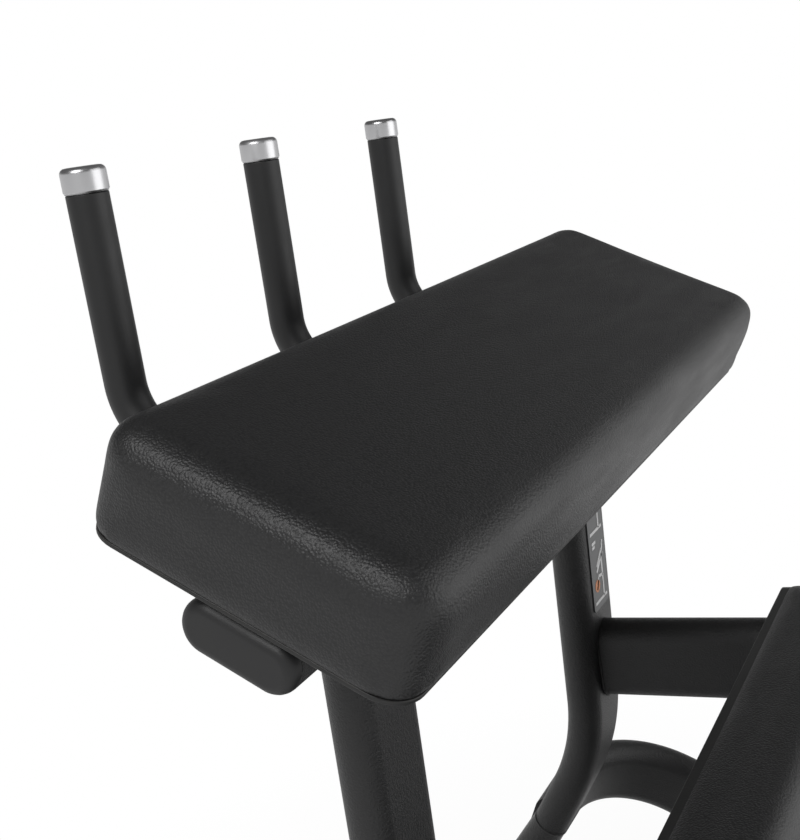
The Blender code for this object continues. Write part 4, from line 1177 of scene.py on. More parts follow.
@dataclass(frozen=True)
class Layout:
    """Sizes and places that several sub-assemblies share, as the CAD source has them."""

    tube_long: float = 0.103
    tube_short: float = 0.046
    post_x: float = 0.2545
    post_y: float = 0.24462
    cross_tube: tuple = (0.0, 0.22182, 1.0643)
    belly_tilt: float = math.radians(24.57)
    thigh_height: float = 0.7018
    thigh_rise: float = math.radians(6.2)
    thigh_reach: float = 0.2173
    knee: tuple = (0.0, -0.16538, 0.54499)
    lever_tube: tuple = (0.0, -0.28188, 0.323)
    axle: tuple = (0.0, -0.28188, 0.185)
    level: float = 0.041
    front_y: float = 0.57588
    middle_y: float = 0.09962
    rear_y: float = -0.55538
    arm_x: float = 0.515

    @property
    def pad_forward(self) -> Vector:
        """The belly pad's slope, towards the handles."""
        return Vector((0, math.cos(self.belly_tilt), math.sin(self.belly_tilt)))

    @property
    def pad_up(self) -> Vector:
        """Square out of the belly pad's face."""
        return Vector((0, -math.sin(self.belly_tilt), math.cos(self.belly_tilt)))

    @property
    def thigh_out(self) -> Vector:
        """The way the thigh tubes run."""
        return Vector((0, -math.cos(self.thigh_rise), math.sin(self.thigh_rise)))

    @property
    def thigh_up(self) -> Vector:
        """Up along the thigh pad's face."""
        return Vector((0, math.sin(self.thigh_rise), math.cos(self.thigh_rise)))

    @property
    def post_face(self) -> float:
        """The Y of the posts' user side."""
        return self.post_y - self.tube_short / 2

    def tube(self, name: str, start: Vector, heading: Vector, tall: Vector) -> Drawn:
        """Starts a frame tube.

        Args:
            name: The piece's name.
            start: Its first end.
            heading: The way it runs.
            tall: The way its long side faces.

        Returns:
            The tube's first ring.
        """
        return Drawn(name, start, heading, tall, self.tube_long, self.tube_short)


@dataclass(frozen=True)
class OvalCap:
    """A domed plastic cap on a tube's end."""

    length: float = 0.012
    dome: float = 0.0102
    lip: float = 0.0004

    def build(
        self, shop: Workshop, layout: Layout, name: str, place: Vector, outward: Vector, tall: Vector
    ) -> None:
        """Makes the cap and hands it over.

        Args:
            shop: Where it is handed over.
            layout: The shared sizes.
            name: The CAD node's name.
            place: The tube's end.
            outward: The way the cap faces.
            tall: The way the tube's long side faces.
        """
        cap = layout.tube(name + "_moulding", place + outward * GAP, outward, tall).run(self.length).done()
        middle = (place + outward * self.length / 2).dot(outward)
        with editing(cap):
            for end, offset, segments in ((1, self.dome, 7), (-1, self.lip, 1)):
                pick(
                    "edges",
                    lambda e, end=end: e.calc_face_angle(0) > CORNER_ANGLE
                    and end * (e.verts[0].co.dot(outward) - middle) > 0,
                )
                bpy.ops.mesh.bevel(offset=offset, segments=segments, affect="EDGES")
        shop.finish(cap, Slot.PLASTIC, name)


@dataclass
class Cushion:
    """A board with a vinyl-covered foam pad on it, swollen by a short cloth simulation."""

    pad: str
    plate: str
    place: Matrix
    out: Vector
    board: float
    length: float
    width: float
    thickness: float
    corner: float
    edge: float
    crown: float = 0.0012
    draw_in: float = 0.002
    voxel: float = 0.006
    cap: float = 0.0012
    pressure: float = 2.0
    frames: int = 20
    wrap: float = 0.003
    hem: float = 0.0035
    inset: float = 0.003
    rim: float = 0.001
    held: float = 0.12
    mass: float = 0.35
    stiffness: float = 25.0
    bending: float = 2.0

    def build(self, shop: Workshop) -> None:
        """Makes the board, shapes the foam, tightens the cover over it and hands both over.

        Args:
            shop: Where they are handed over.
        """
        size = (self.length - 2 * self.inset, self.width - 2 * self.inset, self.board)
        board = slab(self.plate, size, self.place, self.corner - self.inset, self.rim, 10)
        shop.finish(board, Slot.BOARD, f"{self.pad}_board")
        obj = self.foam()
        self.swell(obj)
        self.fit(obj)
        over = Matrix.Translation(self.out * (self.board + GAP)) @ self.place
        obj.matrix_world = over @ Matrix.Translation((0, 0, -self.wrap))
        place_applied(obj)
        bpy.ops.object.shade_smooth()
        shop.hand_over(obj, Slot.VINYL, nodes=(f"{self.pad}_cushion",))

    def foam(self) -> bpy.types.Object:
        """The foam block, with rounded corners, a rounded user edge, a crown and drawn-in sides.

        Returns:
            The mesh object, standing on its own XY plane.
        """
        size = Vector((self.length, self.width, self.thickness + self.wrap))
        obj = block(f"{self.pad}_cushion_upholstery", size)
        with editing(obj):
            pick("edges", lambda e: climb(e) > size.z / 2)
            bpy.ops.mesh.bevel(offset=self.corner, segments=12, affect="EDGES")
            pick("edges", lambda e: min(v.co.z for v in e.verts) > size.z - MERGE)
            bpy.ops.mesh.bevel(offset=self.edge, segments=8, affect="EDGES")
            pick("edges", lambda e: max(v.co.z for v in e.verts) < MERGE)
            bpy.ops.mesh.bevel(offset=self.hem, segments=3, affect="EDGES")
        add_modifier(obj, "REMESH", mode="VOXEL", voxel_size=self.voxel, use_smooth_shade=True)
        half = size / 2
        for vert in obj.data.vertices:
            share = Vector((min(1.0, abs(vert.co.x) / half.x), min(1.0, abs(vert.co.y) / half.y)))
            high = min(1.0, max(0.0, vert.co.z / size.z))
            vert.co.z += self.crown * high**3 * (1 - share.x**4) * (1 - share.y**4)
            waist = 4 * high * (1 - high) * self.draw_in
            vert.co.x -= math.copysign(waist * (1 - share.y**2) * share.x**8, vert.co.x)
            vert.co.y -= math.copysign(waist * (1 - share.x**2) * share.y**8, vert.co.y)
        return obj

    def swell(self, obj: bpy.types.Object) -> None:
        """Blows the cover up under pressure with its back held, and caps how far it goes.

        Args:
            obj: The foam block.
        """
        start = [vert.co.copy() for vert in obj.data.vertices]
        group = obj.vertex_groups.new(name="held")
        low = [vert.index for vert in obj.data.vertices if vert.co.z < self.thickness * self.held]
        group.add(low, 1.0, "REPLACE")
        only(obj)
        cloth = obj.modifiers.new("cover", "CLOTH")
        settings = {
            "quality": 5,
            "mass": self.mass,
            "tension_stiffness": self.stiffness,
            "compression_stiffness": self.stiffness,
            "bending_stiffness": self.bending,
            "use_pressure": True,
            "uniform_pressure_force": self.pressure,
            "vertex_group_mass": group.name,
        }
        for key, value in settings.items():
            setattr(cloth.settings, key, value)
        cloth.settings.effector_weights.gravity = 0
        cloth.collision_settings.use_collision = False
        cloth.point_cache.frame_start = 1
        cloth.point_cache.frame_end = self.frames
        scene = bpy.context.scene
        for step in range(1, self.frames + 1):
            scene.frame_set(step)
        only(obj)
        bpy.ops.object.modifier_apply(modifier=cloth.name)
        scene.frame_set(1)
        for vert, rest in zip(obj.data.vertices, start):
            moved = vert.co - rest
            if moved.length > self.cap:
                vert.co = rest + moved.normalized() * self.cap
        obj.vertex_groups.clear()

    def fit(self, obj: bpy.types.Object) -> None:
        """Smooths and subdivides the cover and brings it back to the pad's own size.

        Args:
            obj: The cushion.
        """
        add_modifier(obj, "SMOOTH", factor=0.5, iterations=4)
        add_modifier(obj, "SUBSURF", levels=1, render_levels=1)
        verts = obj.data.vertices
        low = Vector([min(v.co[axis] for v in verts) for axis in range(3)])
        high = Vector([max(v.co[axis] for v in verts) for axis in range(3)])
        size = high - low
        wanted = Vector((self.length, self.width, self.thickness + self.wrap + self.crown))
        for vert in verts:
            for axis in range(2):
                middle = (low[axis] + high[axis]) / 2
                vert.co[axis] = (vert.co[axis] - middle) * wanted[axis] / size[axis]
            vert.co.z = (vert.co.z - low.z) * wanted.z / size.z


@dataclass
class BellyPad:
    """The sloping pad, its back plate, its mount and the tube that it stands on."""

    length: float = 0.914
    width: float = 0.288
    thickness: float = 0.0935
    back: float = 0.004
    corner: float = 0.034
    edge: float = 0.026
    shift: float = 0.0053
    mount: tuple = (0.560, 0.080, 0.005)
    mount_corner: float = 0.006
    mount_rim: float = 0.0008
    tube_half: float = 0.4367
    tube_edge: float = 0.0005

    def build(self, shop: Workshop, layout: Layout) -> None:
        """Makes the cross tube, its caps, the mount, the back plate and the cushion.

        Args:
            shop: Where pieces are handed over.
            layout: The shared sizes.
        """
        middle, forward, up = Vector(layout.cross_tube), layout.pad_forward, layout.pad_up
        tube = layout.tube("upper_cross_tube_steel", middle - X_AXIS * self.tube_half, X_AXIS, forward)
        tube = tube.run(2 * self.tube_half).done()
        shop.finish(tube, Slot.PAINT, "upper_cross_tube", width=self.tube_edge)
        for word, side in SIDES:
            end = middle + X_AXIS * side * self.tube_half
            OvalCap().build(shop, layout, f"{word}_upper_cap", end, X_AXIS * side, forward)
        turn = Matrix((X_AXIS, forward, up)).transposed().to_4x4()
        on_tube = Matrix.Translation(middle + up * (layout.tube_short / 2 + GAP)) @ turn
        mount = slab("belly_pad_mount_plate", self.mount, on_tube, self.mount_corner, self.mount_rim, 4)
        shop.finish(mount, Slot.PAINT, "belly_pad_mount")
        on_mount = Matrix.Translation(up * (self.mount[2] + GAP) + forward * self.shift) @ on_tube
        size = (self.length, self.width, self.thickness, self.corner, self.edge)
        Cushion("belly_pad", "belly_pad_back_plate", on_mount, up, self.back, *size).build(shop)


@dataclass
class Handles:
    """Three upright handles, each a bent bar with a rubber grip and a plated cap."""

    spacing: float = 0.262
    reach: float = 0.2086
    top: float = 1.4037
    bend_radius: float = 0.063
    grip: float = 0.038
    bar: float = 0.0304
    tail: float = 0.035
    cap_height: float = 0.023
    overhang: float = 0.0012
    bar_sink: float = 0.008
    grip_edge: float = 0.0012

    def route(self, name: str, x: float, tail: float, layout: Layout, diameter: float) -> bpy.types.Object:
        """Draws a round bar from beside the cross tube up to the cap.

        Args:
            name: The piece's name.
            x: The handle's place along the pad.
            tail: How far it goes back from the bend.
            layout: The shared sizes.
            diameter: Its diameter.

        Returns:
            The mesh object.
        """
        forward, up = layout.pad_forward, layout.pad_up
        foot = Vector(layout.cross_tube) + forward * layout.tube_long / 2
        turn = math.pi / 2 - layout.belly_tilt
        tangent = self.bend_radius * math.tan(turn / 2)
        corner = foot + forward * (layout.post_y + self.reach - foot.y) / forward.y
        start = corner - forward * (tangent + tail)
        start.x = x
        rise = self.top - self.cap_height - corner.z - tangent
        drawn = Drawn(name, start, forward, up.cross(forward), diameter, diameter)
        return drawn.run(tail).bend(turn, self.bend_radius, up).run(rise).done()

    def build(self, shop: Workshop, layout: Layout) -> None:
        """Makes the three handles.

        Args:
            shop: Where pieces are handed over.
            layout: The shared sizes.
        """
        forward = layout.pad_forward
        turn = math.pi / 2 - layout.belly_tilt
        bar_tail = (layout.post_y + self.reach - layout.cross_tube[1]) / forward.y - layout.tube_long / 2
        bar_tail -= self.bend_radius * math.tan(turn / 2)
        for word, step in (("left", -1), ("middle", 0), ("right", 1)):
            x = step * self.spacing
            bar = self.route(f"{word}_handle_steel", x, bar_tail + self.bar_sink, layout, self.bar)
            shop.finish(bar, Slot.PAINT, f"{word}_handle_bar")
            grip = self.route(f"{word}_grip_sleeve", x, self.tail, layout, self.grip)
            shop.finish(grip, Slot.GRIP, f"{word}_handle_grip", width=self.grip_edge, segments=3, angle=40)
            end = Vector((x, layout.post_y + self.reach, self.top - self.cap_height))
            self.cap(shop, f"{word}_handle_cap", end)

    def cap(self, shop: Workshop, node: str, place: Vector) -> None:
        """The plated cap on a grip's end.

        Args:
            shop: Where it is handed over.
            node: The CAD node.
            place: The middle of the grip's end.
        """
        wide, high = self.grip / 2 + self.overhang, self.cap_height
        profile = [
            (0, high),
            (wide - 0.006, high),
            (wide - 0.0036, high - 0.0003),
            (wide - 0.0018, high - 0.0014),
            (wide - 0.0005, high - 0.0031),
            (wide, high - 0.0052),
            (wide, 0.0022),
            (wide - 0.0004, 0.0017),
            (wide - 0.0009, 0.0016),
            (wide - 0.0009, GAP),
            (0, GAP),
        ]
        cap = turned(node + "_plated", profile, place, Z_AXIS, 72)
        shop.finish(cap, Slot.CHROME, node)


@dataclass
class Posts:
    """The two posts, the legs that carry on from them, and their welds."""

    top: float = 1.0643
    bend_height: float = 0.582
    bend_angle: float = math.radians(28)
    bend_radius: float = 0.28
    seam_drop: float = 0.127
    leg_angle: float = math.radians(34)
    tube_top: float = 0.0643
    weld_lift: float = 0.001
    seam_half_gap: float = 0.00015
    seam_weld: float = 0.0017
    weld_inset: float = 0.0010
    post_spare: float = 0.02
    leg_spare: float = 0.04
    rounding: float = 0.0009

    def build(self, shop: Workshop, layout: Layout) -> None:
        """Makes posts, legs and welds.

        Args:
            shop: Where pieces are handed over.
            layout: The shared sizes.
        """
        tangent = self.bend_radius * math.tan(self.bend_angle / 2)
        upright = self.top - self.bend_height - tangent
        lower = self.seam_drop / math.cos(self.bend_angle) - tangent
        lean = (self.bend_angle + self.leg_angle) / 2
        mitre = Vector((0, math.sin(lean), -math.cos(lean)))
        down = Vector((0, math.sin(self.leg_angle), -math.cos(self.leg_angle)))
        seam_y = layout.post_y + self.seam_drop * math.tan(self.bend_angle)
        for word, side in SIDES:
            x = side * layout.post_x
            seam = Vector((x, seam_y, self.bend_height - self.seam_drop))
            post = layout.tube(f"{word}_post_steel", Vector((x, layout.post_y, self.top)), -Z_AXIS, X_AXIS)
            post.run(upright).bend(self.bend_angle, self.bend_radius, Y_AXIS, 24).run(lower + self.post_spare)
            post = post.done(((seam - mitre * self.seam_half_gap, mitre),))
            shop.finish(post, Slot.PAINT, f"{word}_post", width=self.rounding)
            length = (seam.z - self.tube_top) / math.cos(self.leg_angle)
            leg = layout.tube(f"{word}_leg_steel", seam - down * self.leg_spare, down, X_AXIS)
            leg.run(length + 3 * self.leg_spare)
            foot = Vector((x, 0, self.tube_top))
            leg = leg.done(((seam + mitre * self.seam_half_gap, -mitre), (foot, -Z_AXIS)))
            shop.finish(leg, Slot.PAINT, f"{word}_base_tube", width=self.rounding)
            stretch = layout.tube_short / math.cos(self.leg_angle)
            landing = Vector((x, layout.front_y, self.tube_top + self.weld_lift))
            WeldBead(landing, Z_AXIS, X_AXIS, layout.tube_long, stretch).build(shop, f"{word}_leg_foot_weld")
            long, short = layout.tube_long - self.weld_inset, layout.tube_short - self.weld_inset
            bead = WeldBead(seam, mitre, X_AXIS, long, short, self.seam_weld)
            bead.build(shop, f"{word}_leg_seam_weld")


@dataclass
class ThighRest:
    """The tubes on edge and the thigh pad on their ends."""

    length: float = 0.70
    height: float = 0.20
    thickness: float = 0.090
    top: float = 0.064
    board: float = 0.012
    corner: float = 0.030
    edge: float = 0.029
    wrap: float = 0.0065
    sink: float = 0.012
    weld: float = 0.0022

    def build(self, shop: Workshop, layout: Layout) -> None:
        """Makes the tubes, the board and the cushion.

        Args:
            shop: Where pieces are handed over.
            layout: The shared sizes.
        """
        out, up = layout.thigh_out, layout.thigh_up
        root = Vector((0, layout.post_face, layout.thigh_height))
        for word, side in SIDES:
            start = root + X_AXIS * side * layout.post_x
            tube = layout.tube(f"{word}_thigh_tube_steel", start - out * self.sink, out, up)
            tube = tube.run(layout.thigh_reach + self.sink - GAP).done(((start - Y_AXIS * GAP, Y_AXIS),))
            shop.finish(tube, Slot.PAINT, f"{word}_thigh_tube", width=TUBE_EDGE)
            bead = WeldBead(start, Y_AXIS, up, layout.tube_long, layout.tube_short, self.weld)
            bead.build(shop, f"{word}_thigh_tube_weld")
        turn = Matrix((X_AXIS, up, out)).transposed().to_4x4()
        centre = root + out * layout.thigh_reach + up * (self.top - self.height / 2)
        place = Matrix.Translation(centre) @ turn
        size = (self.length, self.height, self.thickness, self.corner, self.edge)
        Cushion("thigh_pad", "thigh_pad_plate", place, out, self.board, *size, wrap=self.wrap).build(shop)


@dataclass
class SideArms:
    """The rails that run from the legs' outer sides round and down to the floor behind the user."""

    start: tuple = (0.283, 0.35059, 0.398)
    out_run: float = 0.093
    slope: float = math.radians(22)
    radius: float = 0.139
    lower_radius: float = 0.20
    end_y: float = -0.61538
    leg_angle: float = math.radians(34)
    weld: float = 0.0024
    weld_reach: float = 0.78

    def on_leg(self, point: Vector, leg: Vector, side: int, layout: Layout) -> Vector:
        """Moves a point along X onto the leg's round side.

        Args:
            point: The point.
            leg: A point on the leg's axis.
            side: -1 on the left and 1 on the right.
            layout: The shared sizes.

        Returns:
            The moved point.
        """
        square = Vector((0, math.cos(self.leg_angle), math.sin(self.leg_angle)))
        radius = layout.tube_short / 2
        off = (point - leg).dot(square)
        limit = self.weld_reach * radius
        held = max(-limit, min(limit, off))
        moved = point + square * (held - off)
        reach = (layout.tube_long - layout.tube_short) / 2 + math.sqrt(radius**2 - held**2)
        return Vector((leg.x + side * reach, moved.y, moved.z))

    def build(self, shop: Workshop, layout: Layout) -> None:
        """Makes both rails with their caps.

        Args:
            shop: Where pieces are handed over.
            layout: The shared sizes.
        """
        toward_user = Vector((0, -math.cos(self.slope), -math.sin(self.slope)))
        square = Vector((0, -math.sin(self.slope), math.cos(self.slope)))
        low = layout.level - layout.tube_short / 2 + layout.tube_long / 2
        drop = self.start[2] - self.radius * math.sin(self.slope) - low
        sloped = (drop - self.lower_radius * (1 - math.cos(self.slope))) / math.sin(self.slope)
        reached = self.start[1] - (self.radius + sloped) * math.cos(self.slope)
        reached -= self.lower_radius * math.sin(self.slope)
        for word, side in SIDES:
            begin = Vector((side * self.start[0], self.start[1], self.start[2]))
            arm = layout.tube(f"{word}_side_arm_steel", begin, X_AXIS * side, square)
            arm.run(self.out_run).bend(math.pi / 2, self.radius, toward_user, 32).run(sloped)
            arm.bend(self.slope, self.lower_radius, square, 12).run(reached - self.end_y - GAP)
            shop.finish(arm.done(), Slot.PAINT, f"{word}_side_arm", width=TUBE_EDGE)
            end = Vector((side * layout.arm_x, self.end_y, low))
            OvalCap().build(shop, layout, f"{word}_side_arm_cap", end, -Y_AXIS, Z_AXIS)
            leg = Vector((side * layout.post_x, self.start[1], self.start[2]))
            bead = WeldBead(begin, X_AXIS, square, layout.tube_long, layout.tube_short, self.weld)
            settle = partial(self.on_leg, leg=leg, side=side, layout=layout)
            bead.build(shop, f"{word}_side_arm_weld", settle)


@dataclass
class Base:
    """Cross tubes, spines, feet and the platform with its mat."""

    front_half: float = 0.4177
    middle_half: float = 0.390
    rear_half: float = 0.5035
    foot_height: float = 0.0177
    foot_radius: float = 0.0278
    foot_x: float = 0.3785
    spine_lap: float = 0.020
    mat_border: float = 0.028
    mat_corner: float = 0.025
    mat_rim: float = 0.0012
    rib_pitch: float = 0.0125
    groove_share: float = 0.38
    groove_depth: float = 0.0016
    groove_slope: float = 0.0006
    cutter_lift: float = 0.001
    saddle_edge: float = 0.0015
    sheet_edge: float = 0.0012

    def build(self, shop: Workshop, layout: Layout) -> None:
        """Makes the base.

        Args:
            shop: Where pieces are handed over.
            layout: The shared sizes.
        """
        rows = (
            ("front", layout.front_y, self.front_half),
            ("middle", layout.middle_y, self.middle_half),
            ("rear", layout.rear_y, self.rear_half),
        )
        for word, y, half in rows:
            tube = layout.tube(f"{word}_cross_tube_steel", Vector((-half, y, layout.level)), X_AXIS, Y_AXIS)
            tube = tube.run(2 * half).done()
            shop.finish(tube, Slot.PAINT, f"{word}_cross_tube", width=TUBE_EDGE)
        spans = (
            ("front_spine", layout.front_y, layout.middle_y),
            ("rear_spine", layout.middle_y, layout.rear_y),
        )
        for name, far, near in spans:
            sunk = layout.tube_long / 2 - self.spine_lap
            tube = layout.tube(f"{name}_steel", Vector((0, far - sunk, layout.level)), -Y_AXIS, X_AXIS)
            tube = tube.run(far - near - 2 * sunk).done()
            shop.finish(tube, Slot.PAINT, name)
        for word, side in SIDES:
            end = Vector((side * self.front_half, layout.front_y, layout.level))
            OvalCap().build(shop, layout, f"{word}_front_cap", end, X_AXIS * side, Y_AXIS)
            self.foot(shop, f"{word}_front_foot", Vector((side * self.foot_x, layout.front_y, 0)))
            saddle = copied_node(f"{word}_rear_foot_rubber", f"{word}_rear_foot")
            shop.finish(saddle, Slot.RUBBER, f"{word}_rear_foot", width=self.saddle_edge, segments=3)
        platform = copied_node("foot_platform_sheet", "foot_platform")
        shop.finish(platform, Slot.PAINT, "foot_platform", width=self.sheet_edge, segments=3)
        self.mat(shop)

    def mat(self, shop: Workshop) -> None:
        """The ribbed rubber mat.

        Args:
            shop: Where it is handed over.
        """
        low, high = (Vector(each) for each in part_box("platform_mat"))
        size, middle = high - low, (low + high) / 2
        place = Matrix.Translation((middle.x, middle.y, low.z))
        mat = slab("platform_mat_rubber", size, place, self.mat_corner, self.mat_rim, 10)
        inset, slope = self.mat_border, self.groove_slope
        deep, over = high.z - self.groove_depth, high.z + self.cutter_lift
        count = int((size.y - 2 * inset) / self.rib_pitch)
        pitch = (size.y - 2 * inset) / count
        groove = pitch * self.groove_share
        points = [(low.y + inset, over + self.cutter_lift)]
        for number in range(count):
            edge = low.y + inset + number * pitch
            points += [(edge, deep), (edge + groove, deep)]
            points += [(edge + groove + slope, over), (edge + pitch - slope, over)]
        points.append((high.y - inset, over + self.cutter_lift))
        outline = [Vector((low.x + inset, y, z)) for y, z in points]
        unite(mat, [drawn_plate("mat_grooves", outline, X_AXIS * (size.x - 2 * inset))], "DIFFERENCE")
        shop.finish(mat, Slot.RUBBER, "platform_mat")

    def foot(self, shop: Workshop, node: str, place: Vector) -> None:
        """A round rubber foot.

        Args:
            shop: Where it is handed over.
            node: The CAD node.
            place: Its middle on the floor.
        """
        high, wide = self.foot_height, self.foot_radius
        profile = [
            (0, high),
            (wide * 0.9, high),
            (wide, high * 0.78),
            (wide, high * 0.5),
            (wide - 0.0012, high * 0.45),
            (wide - 0.0012, high * 0.38),
            (wide, high * 0.33),
            (wide, 0.002),
            (wide - 0.002, 0),
            (0, 0),
        ]
        foot = turned(node + "_rubber", profile, place, Z_AXIS)
        shop.finish(foot, Slot.RUBBER, node)


@dataclass
class KneePivot:
    """The plates with the knee bearings, and the buffers that stop the lever."""

    plate_x: float = 0.2778
    plate: float = 0.012
    housing_x: float = 0.2608
    housing: float = 0.046
    housing_radius: float = 0.036
    bearing_radius: float = 0.026
    bearing_inset: float = 0.001
    bearing_edge: float = 0.0003
    seal_depth: float = 0.0012
    inner_ring: float = 0.0034
    outer_ring: float = 0.004
    hub_radius: float = 0.042
    stop: tuple = (-0.14309, 0.45499)
    stop_radius: float = 0.015
    stop_margin: float = 0.008
    stop_x: float = 0.2458
    heel: float = 0.045
    corner: float = 0.010
    bolt_places: tuple = (0.048, 0.116)
    bolt_drop: float = 0.016
    bolt_rise: float = 0.036
    pad_foot: float = 0.136
    pad_lap: float = 0.010
    pad_back: float = 0.018
    flange_lap: float = 0.003
    flange_height: float = 0.095
    flange_rear: float = 0.0816
    neck_rear: float = 0.147
    ring_play: float = 0.0006
    plate_edge: float = 0.0010

    def build(self, shop: Workshop, layout: Layout) -> None:
        """Makes the brackets, bearings, buffers and bolts.

        Args:
            shop: Where pieces are handed over.
            layout: The shared sizes.
        """
        knee = Vector(layout.knee)
        for word, side in SIDES:
            out = X_AXIS * side
            place = Vector((side * self.housing_x, knee.y, knee.z))
            self.bracket(shop, layout, word, side, place)
            bearing = turned(f"{word}_bearing_rings", self.bearing_profile(), place, out)
            shop.finish(bearing, Slot.STEEL, f"{word}_pivot_bearing", width=self.bearing_edge)
            length = self.plate_x - self.stop_x - GAP
            wide = self.stop_radius
            rubber = [(0, 0), (wide - 0.0025, 0), (wide - 0.0007, 0.0007), (wide, 0.0025)]
            rubber += [(wide, length - 0.006), (wide - 0.0015, length - 0.005)]
            rubber += [(wide - 0.0015, length), (0, length)]
            buffer = turned(f"{word}_stop_rubber", rubber, Vector((side * self.stop_x, *self.stop)), out)
            shop.finish(buffer, Slot.RUBBER, f"{word}_stop_buffer")
            outer = side * (self.plate_x + self.plate)
            bolt = ButtonBolt()
            low = layout.thigh_height - self.bolt_drop
            places = [(y, z) for y in self.bolt_places for z in (low, low + self.bolt_rise)]
            for number, (y, z) in enumerate(places, 1):
                bolt.build(shop, f"{word}_bracket_bolt_{number}", Vector((outer, y, z)), out)
            bolt.build(shop, f"{word}_stop_bolt", Vector((outer, *self.stop)), out)

    def bearing_profile(self) -> list[tuple]:
        """The bearing's two rings with the sunk seal between them.

        Returns:
            (radius, height) points, closed.
        """
        low, high, sunk = self.bearing_inset, self.housing - self.bearing_inset, self.seal_depth
        wide = self.bearing_radius
        inner, outer = BORE + self.inner_ring, wide - self.outer_ring
        profile = [(BORE, high), (inner, high), (inner, high - sunk), (outer, high - sunk), (outer, high)]
        profile += [(wide, high), (wide, low), (outer, low), (outer, low + sunk)]
        return profile + [(inner, low + sunk), (inner, low), (BORE, low), (BORE, high)]

    def bracket(self, shop: Workshop, layout: Layout, word: str, side: int, place: Vector) -> None:
        """The plate on the thigh tube with the bearing's housing.

        Args:
            shop: Where it is handed over.
            layout: The shared sizes.
            word: left or right.
            side: -1 or 1.
            place: The housing's inner end.
        """
        face, reach, corner, heel = layout.post_face, layout.thigh_reach, self.corner, self.heel
        pad_end = layout.thigh_height + layout.thigh_out.z * reach - layout.thigh_up.z * self.pad_foot
        under_pad, near = pad_end - self.pad_lap, face - reach + self.pad_back
        flange = layout.thigh_height - layout.tube_long / 2 + self.flange_lap
        top, rear, neck = flange + self.flange_height, face - self.flange_rear, face - self.neck_rear
        circles = [
            (layout.knee[1], layout.knee[2], self.hub_radius),
            (*self.stop, self.stop_radius + self.stop_margin),
            (neck - heel, under_pad + corner, heel),
            (neck, flange, GAP),
            (rear - corner, flange + corner, corner),
            (rear - corner, top - corner, corner),
            (near + corner, top - corner, corner),
            (near, under_pad, GAP),
        ]
        low = self.plate_x if side > 0 else -self.plate_x - self.plate
        bracket = linked_plate(f"{word}_pivot_bracket", circles, low, self.plate)
        out = X_AXIS * side
        ring = [(0, 0), (self.housing_radius, 0), (self.housing_radius, self.housing), (0, self.housing)]
        unite(bracket, [turned("housing_ring", ring, place, out)])
        wide, past = self.bearing_radius + self.ring_play, 0.01
        bore = [(0, -past), (wide, -past), (wide, self.housing + past), (0, self.housing + past)]
        unite(bracket, [turned("housing_bore", bore, place, out)], "DIFFERENCE")
        shop.finish(bracket, Slot.PAINT, f"{word}_pivot_plate", width=self.plate_edge)


